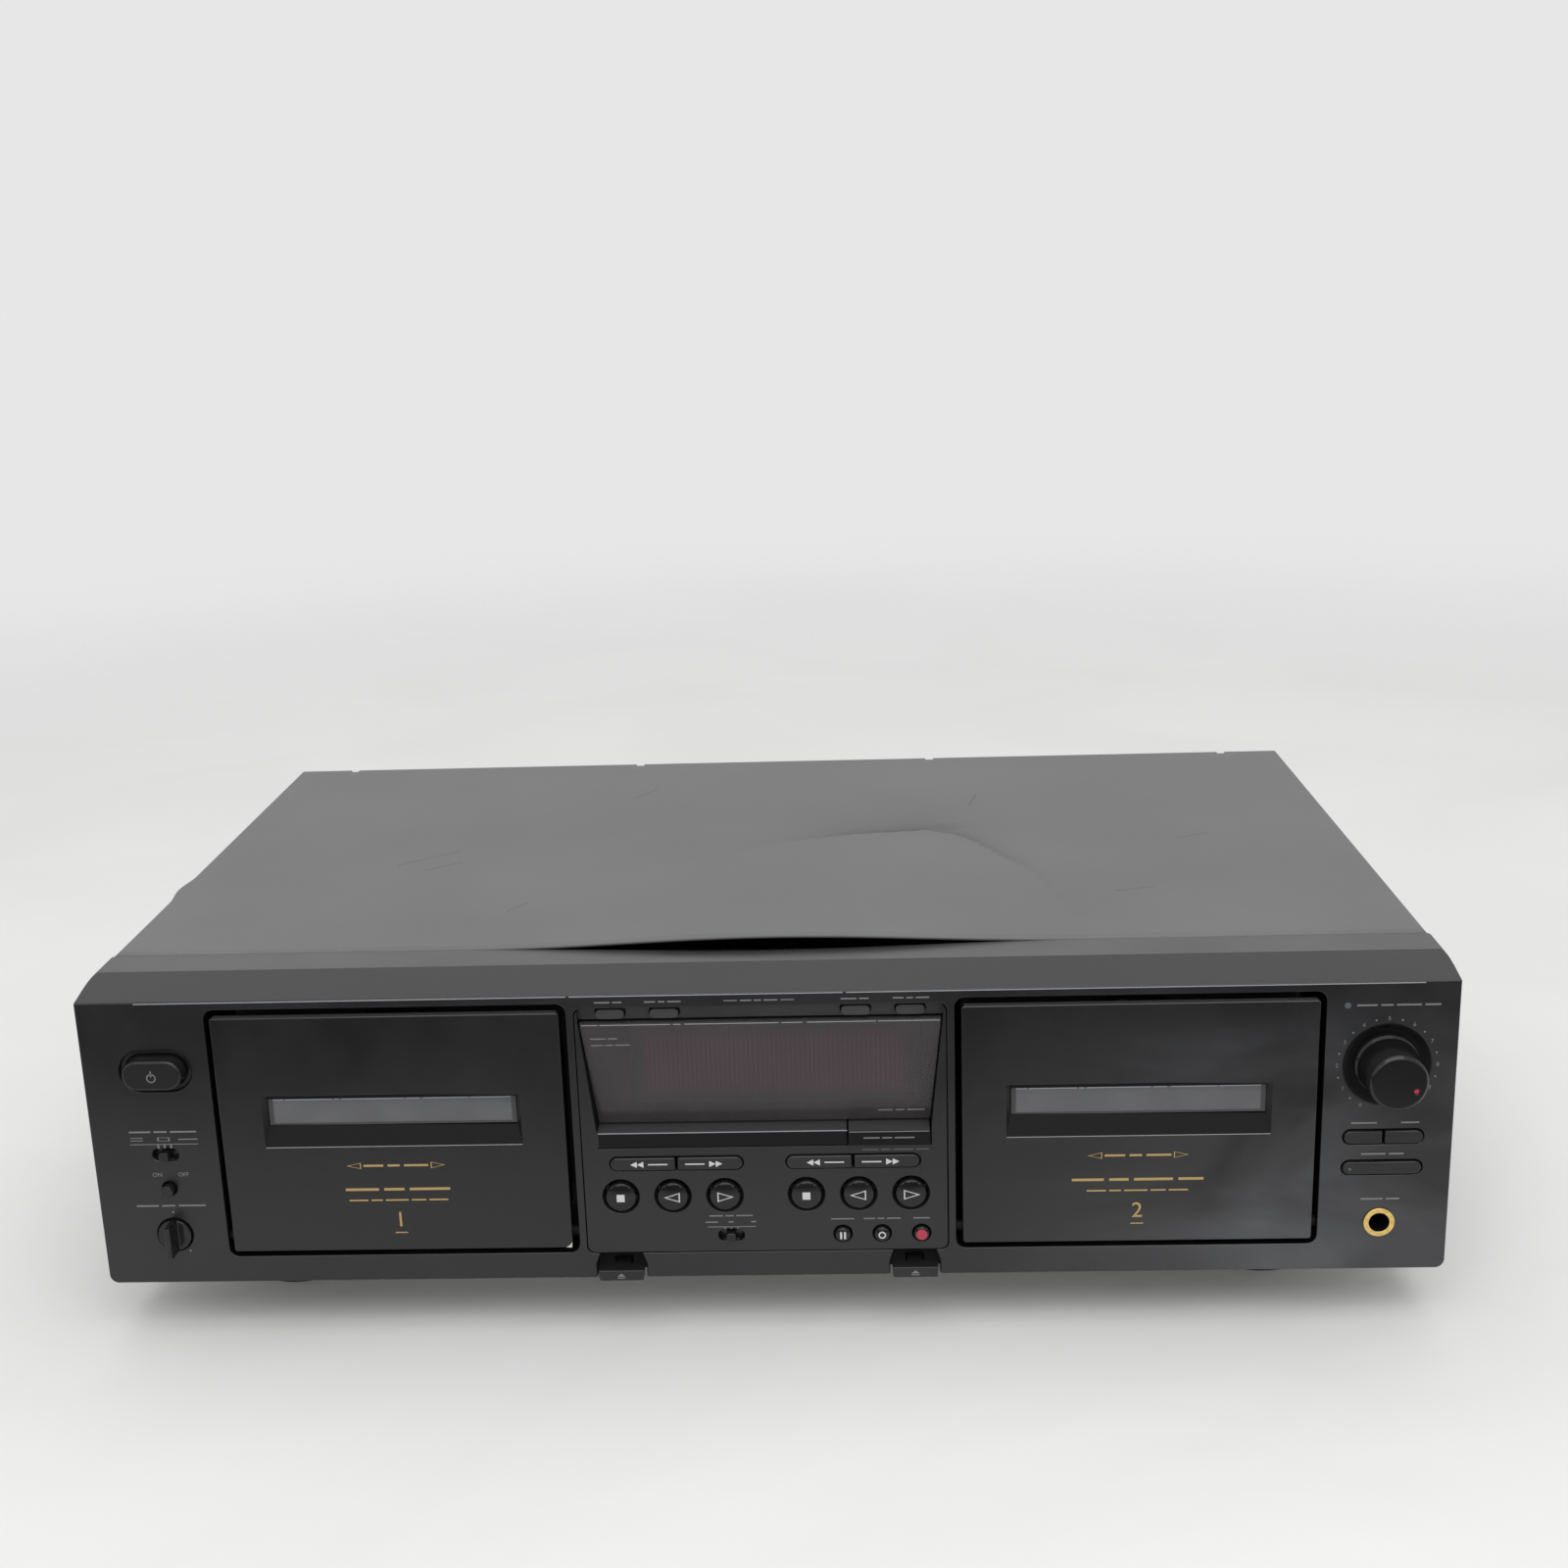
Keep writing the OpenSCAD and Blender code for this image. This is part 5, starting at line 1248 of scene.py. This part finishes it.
pause = rows_of(bar, [(x, DOT_Z - PAUSE_HALF, x + PAUSE_WIDTH, DOT_Z + PAUSE_HALF) for x in PAUSE_BARS])
dubbing = words(31.5, 47.5, 66.9, 1.0) + rule(key_left + 0.4, key_right - 0.4, 69)
power = outline(circle(LEFT_X, POWER_Z, 1.5), 0.35)
power += bar(LEFT_X - 0.2, POWER_Z + 0.4, LEFT_X + 0.2, POWER_Z + 2.4)
knob_dot = [(circle(*on_dial(KNOB_DOT_TURN, KNOB_DOT_RADIUS), 0.86),)]
signs += [
    ("pause_button", pause, white_ink, DOT_CROWN, IN_DOME),
    ("record_mute_button", outline(circle(36.8, DOT_Z, 1.2), 0.4), white_ink, DOT_CROWN, IN_DOME),
    ("record_button", [(circle(49.4, DOT_Z, 1.75, 32),)], red_ink, DOT_CROWN, IN_DOME),
    ("dubbing_button", dubbing, grey_ink, KEY_FACE, INK_SUNK),
    ("power_button", power, grey_ink, POWER_FACE, INK_SUNK),
    ("level_knob", knob_dot, red_ink, KNOB_FACE, INK_SUNK),
]
for key, shapes, material, depth, sunk in signs:
    stamp(key + "_sign", shapes, material, body_of[key], slot_of[key], depth, sunk)
print("signs on keys:", len(signs))

# %% [markdown]
# ## Gold print on the doors
# Each door carries a few lines of gold print: a pair of outlined arrows with bars between them,
# two rows of bars, and the number of the deck. The left door has a chipped lower corner, where
# the pale plastic under the black paint shows. Each pane has a painted shadow over its head, a grey
# border, and a painted highlight along its top edge, broken in places. The foot of the apron has a
# painted highlight too.

# %% Gold print
DOOR_X, DOOR_FACE = 117.4, -1.2
PASS_REACH, PASS_Z, PASS_SIZE, PASS_TALL, PASS_LINE = 13.3, 60, 4.2, 0.26, 0.6
NUMBER_Z, NUMBER_SIZE = 40.8, 7.4
PANE_SHADE, PANE_SIDE, PANE_FOOT, PANE_HEAD, PANE_GLINT = 1.5, 1.5, 0.7, 0.1, 0.17
APRON_RISE, APRON_LINE = 6.8, 0.22
GLINTS = ((-38, -34.5), (-34, -19), (-18.4, -16.8), (-16, 4), (4.6, 9), (10, 24.6), (25, 38))
CHIP = [(-64.6, 30.35), (-62.75, 30.35), (-62.65, 32.2), (-63.3, 31.2)]
for side, deck, number, title_half in ((-1, "a", "1", 16.8), (1, "b", "2", 20.6)):
    centre = side * DOOR_X
    door, slot, pane_slot = "door_" + deck, slot_of["cassette_door_" + deck], slot_of["door_window_" + deck]
    gold = []
    for way in (-1, 1):
        arrow = triangle(centre + way * PASS_REACH, PASS_Z, PASS_SIZE, way, PASS_TALL)
        gold += outline(arrow, PASS_LINE)
    gold_rows = [(10.4, PASS_Z, 1.7), (title_half, 51.7, 2.1), (15.9, 47.9, 1.2), (2, 36.4, 0.9)]
    gold += rows_of(words, [(centre - half, centre + half, z, size) for half, z, size in gold_rows])
    stamp("gold_rows_" + deck, gold, gold_ink, door, slot, DOOR_FACE)
    numeral = [(number, centre, NUMBER_Z)]
    figures("gold_number_" + deck, numeral, gold_ink, door, slot, DOOR_FACE, NUMBER_SIZE)
    (x0, y0, z0), (x1, _, z1) = [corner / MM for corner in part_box("door_window_" + deck)]
    pane_depth, head = y0 - face_y / MM, z1 - PANE_SHADE
    # painted shadow over the head of the pane
    stamp("pane_shade_" + deck, bar(x0, head, x1, z1), apron_plastic, door, pane_slot, pane_depth)
    inner = (x0 + PANE_SIDE, z0 + PANE_FOOT, x1 - PANE_SIDE, head - PANE_HEAD)
    border = [(bar(x0, z0, x1, head)[0][0], bar(*inner)[0][0])]
    stamp("pane_border_" + deck, border, border_ink, door, pane_slot, pane_depth)
    # painted highlight along the pane's top edge
    edge = rows_of(rule, [(centre + a, centre + b, head - PANE_HEAD - PANE_GLINT) for a, b in GLINTS])
    stamp("pane_edge_" + deck, edge, glint, door, pane_slot, pane_depth)
    # painted highlight along the foot of the apron
    apron_highlight_line = rule(x0 - PANE_SIDE, x1 + PANE_SIDE, z0 - APRON_RISE, APRON_LINE)
    stamp("apron_edge_" + deck, apron_highlight_line, glint, door, slot, DOOR_FACE)
stamp("chipped_corner", plate(*CHIP), bare_chip, "door_a", slot_of["cassette_door_a"], DOOR_FACE)
print("gold print on two doors")

# %% [markdown]
# ## Display behind the window
# A fluorescent display sits behind the smoked window: a glass tube with a red filter over fine
# vertical wires. It is off in the photograph, so all that shows is a dull red field with a fine
# upright texture and soft borders. One thin plate carries a stripe pattern made from a wave texture,
# darkened towards its edges by four ramps of which the largest counts.

# %% Display filter
FILTER_X, FILTER_Z, FILTER_FADE = (-39.6, 47.6), (76.8, 101), 4.5
FILTER_DEPTHS = (9.3, 9.58)
NEAR_BLACK = (0.03, 0.03, 0.03)


def red_filter(name):
    material, tree, shader, coords = blank_material(name, Roughness=0.35)
    wires = add(tree, "ShaderNodeTexWave", {"bands_direction": "X"}, Scale=210.0, Distortion=0.0)
    wire(tree, coords, "Object", wires, "Vector")
    colour = two_tone(tree, wires, (0.22, 0.05, 0.08), (0.40, 0.10, 0.15), 0.2, 0.8)
    axes = axes_of(tree, coords, "Object")
    fades = [ramp_over(tree, axes, axis, (edge + FILTER_FADE * way) * MM, edge * MM)
             for axis, edges in (("X", FILTER_X), ("Z", FILTER_Z)) for edge, way in zip(edges, (1, -1))]
    dark = fades[0]
    for fade in fades[1:]:
        dark = calculate(tree, "MAXIMUM", (dark, 0), (fade, 0))
    wire(tree, *overlay(tree, colour, dark, NEAR_BLACK), shader, "Base Color")
    return material


low, high = (place(x, depth, z) for x, depth, z in zip(FILTER_X, FILTER_DEPTHS, FILTER_Z))
block = Matrix.Translation((low + high) / 2) @ Matrix.Diagonal((*(high - low), 1))
filter_plate = bmesh.new()
bmesh.ops.create_cube(filter_plate, size=1.0, matrix=block)
WINDOW_SLOT = slot_of["display_window"]
display = finished("display_filter", filter_plate, red_filter("red_filter"), "case", WINDOW_SLOT)
rounded(display, 0.1)
print("display filter:", [round(v / MM, 1) for v in display.dimensions], "mm")

# %% [markdown]
# ## Print on the window
# Three short rows of print lie on the smoked window, which leans: its foot stands five millimetres
# deeper than its head. The rows are stamped flat, and each vertex is then moved back to the window.
# The painted highlight on its head has the same breaks as the one on a pane, drawn wider.

# %% Print on the window
WINDOW_FOOT, WINDOW_HEAD = (6.0, 70.4), (0.9, 106.4)
WINDOW_ROWS = [(-53.4, -44.8, 100.9, 0.9), (-53.2, -41, 98.6, 0.9), (36.4, 51, 73.6, 1.1)]
GLINT_STRETCH, GLINT_Z, GLINT_LINE = 1.47, 105.7, 0.25


def leaned(piece):
    for vert in piece.data.vertices:
        share = (vert.co.z / MM - WINDOW_FOOT[1]) / (WINDOW_HEAD[1] - WINDOW_FOOT[1])
        vert.co.y += (WINDOW_FOOT[0] + share * (WINDOW_HEAD[0] - WINDOW_FOOT[0])) * MM


window_print = rows_of(words, WINDOW_ROWS)
leaned(stamp("window_print", window_print, grey_ink, "case", WINDOW_SLOT, 0))
# painted highlight on the head of the window
edge = rows_of(rule, [(a * GLINT_STRETCH, b * GLINT_STRETCH, GLINT_Z, GLINT_LINE) for a, b in GLINTS])
leaned(stamp("window_edge", edge, glint, "case", WINDOW_SLOT, 0))
print("window print:", len(window_print), "bars")

# %% [markdown]
# ## Rings of the line jacks
# A coloured ring round each line jack tells the channels apart, white above and red below. Each is a
# short turned tube, so it is spun from five points about the jack's axis. Printed frames part the two
# pairs of jacks, with a bar over each in place of a word.

# %% Jack rings
JACK_X, JACK_PITCH, JACK_HEIGHTS = 149.6, 16, (46.7, 64.7)
RING = [(4.25, 0), (5.9, 0), (5.9, 1.2), (5.5, 1.6), (4.25, 1.6)]
RING_SPOKES = 32
FRAME_MARGIN, FRAME_HALF, FRAME_LINE = 9, 7.2, 0.4
SIDE_MARKS = (18.4, 21)
jack_columns = [JACK_X + way * JACK_PITCH / 2 for way in (-1, 1)]
for height, material in zip(JACK_HEIGHTS, (red_plastic, white_plastic)):
    rings = bmesh.new()
    for x in jack_columns:
        spokes = []
        for spoke in range(RING_SPOKES):
            a = 2 * math.pi * spoke / RING_SPOKES
            across, upward = math.cos(a), math.sin(a)
            spokes.append([rings.verts.new(place(x + r * across, REAR_FACE + d, height + r * upward))
                           for r, d in RING])
        for one, two in pairs(spokes):
            band(rings, one, two)
    bmesh.ops.recalc_face_normals(rings, faces=rings.faces)
    finished(f"jack_rings_{round(height)}", rings, material, "case", slot_of["line_jacks"])
low, high = JACK_HEIGHTS[0] - FRAME_MARGIN, JACK_HEIGHTS[1] + FRAME_MARGIN
frames = []
for x in jack_columns:
    sides = (x - FRAME_HALF - FRAME_LINE, x + FRAME_HALF)
    frames += rows_of(bar, [(side, low, side + FRAME_LINE, high) for side in sides])
    frames += rows_of(rule, [(x - FRAME_HALF, x + FRAME_HALF, z, FRAME_LINE) for z in (low, high)])
    frames += words(x - 5, x + 5, high + 3.2, 2.2)
frames += rows_of(rule, [(*(JACK_X + reach for reach in SIDE_MARKS), z, 0.7) for z in JACK_HEIGHTS])
stamp("rear_print", frames, white_ink, "case", slot_of["rear_panel"], REAR_FACE, INK_PROUD)
print("jack rings and rear print made")

# %% [markdown]
# ## Pale studio
# The deck stands on a pale cloth with soft folds. A wall behind it would hide its back from the other
# side, so the cloth fades out with distance instead, and the pale room behind it takes over.
# Reflections find the pale ground only close to the front; beyond it the cloth is painted near black
# for reflected rays only, a painted dark reflection, so the satin front is brighter at its foot than under
# its slope.

# %% Studio cloth
CLOTH_HALF, CLOTH_CELLS = 3.0, 24
FADE_FROM, FADE_TO = 0.55, 1.7
GROUND_PALE_TO, GROUND_DARK_FROM = -0.23, -0.36

cloth_shape = bmesh.new()
bmesh.ops.create_grid(cloth_shape, x_segments=CLOTH_CELLS, y_segments=CLOTH_CELLS, size=CLOTH_HALF)
cloth_mesh = bpy.data.meshes.new("studio_cloth")
cloth_shape.to_mesh(cloth_mesh)
cloth_shape.free()
cloth, tree, shader, coords = blank_material("white_cloth", Roughness=0.9, Specular_IOR_Level=0.1)
folds = noise(tree, coords, Scale=4.5, Detail=3.0, Roughness=0.45, Distortion=0.8)
colour = two_tone(tree, folds, (0.755, 0.755, 0.75), (0.785, 0.785, 0.78))
beyond = ramp_over(tree, axes_of(tree, coords, "Object"), "Y", GROUND_PALE_TO, GROUND_DARK_FROM)
# beyond the line, reflected rays see the cloth painted near black: a painted dark reflection
ray = add(tree, "ShaderNodeLightPath")
mirrored = calculate(tree, "MULTIPLY", (ray, "Is Glossy Ray"), (beyond, "Result"))
wire(tree, *overlay(tree, colour, mirrored, NEAR_BLACK), shader, "Base Color")
roughen(tree, shader, folds, strength=0.25, distance=0.02)
distance = calculate(tree, "LENGTH", (coords, "Object"), kind=VECTORS)
fade = add(tree, "ShaderNodeMapRange", {"interpolation_type": "SMOOTHSTEP"},
           From_Min=FADE_FROM, From_Max=FADE_TO, To_Min=1.0, To_Max=0.0)
wire(tree, distance, "Value", fade, "Value")
solid = calculate(tree, "MAXIMUM", (fade, "Result"), (mirrored, "Value"))
wire(tree, solid, "Value", shader, "Alpha")
cloth_mesh.materials.append(cloth)
studio = bpy.data.objects.new("studio_cloth", cloth_mesh)
scene.collection.objects.link(studio)
print("cloth:", len(cloth_mesh.polygons), "faces")

# %% [markdown]
# ## Light
# The room itself gives most of the light. The eye and the reflections see it a little brighter than it
# shines, so black plastic stays black. A broad lamp hangs over the front, another over the deck, and a
# weak low one thins the shadow in front. Each lamp has a place, a target, a size and a strength.

# %% Studio light
ROOM_SHINE, ROOM_SEEN = 0.72, 0.80
LAMPS = [
    ("over_front", (0.1, -0.95, 1.15), (0, 0, 0.06), (1.3, 0.8), 7.5),
    ("overhead", (0, 0.05, 1.6), (0, 0.02, 0.1), (1.6, 1.2), 5.5),
    ("low_front", (0, -1.5, 0.45), (0, -0.1, 0.03), (1.6, 0.5), 3),
]

world = bpy.data.worlds.new("pale_room")
world.use_nodes = True
room = world.node_tree
background = room.nodes["Background"]
background.inputs["Color"].default_value = (1, 1, 1, 1)
path = add(room, "ShaderNodeLightPath")
seen = calculate(room, "MAXIMUM", (path, "Is Camera Ray"), (path, "Is Glossy Ray"))
seen_through = calculate(room, "MAXIMUM", (seen, "Value"), (path, "Is Transmission Ray"))
strength = add(room, "ShaderNodeMapRange", To_Min=ROOM_SHINE, To_Max=ROOM_SEEN)
wire(room, seen_through, "Value", strength, "Value")
wire(room, strength, "Result", background, "Strength")
scene.world = world
for name, spot, target, size, watts in LAMPS:
    light = bpy.data.lights.new(name, "AREA")
    light.shape = "RECTANGLE"
    light.size, light.size_y = size
    light.energy = watts
    holder = bpy.data.objects.new(name, light)
    holder.location = spot
    holder.rotation_euler = (Vector(target) - Vector(spot)).to_track_quat("-Z", "Y").to_euler()
    scene.collection.objects.link(holder)
scene.view_settings.view_transform = "Standard"
print("studio light ready,", len(LAMPS), "lamps")
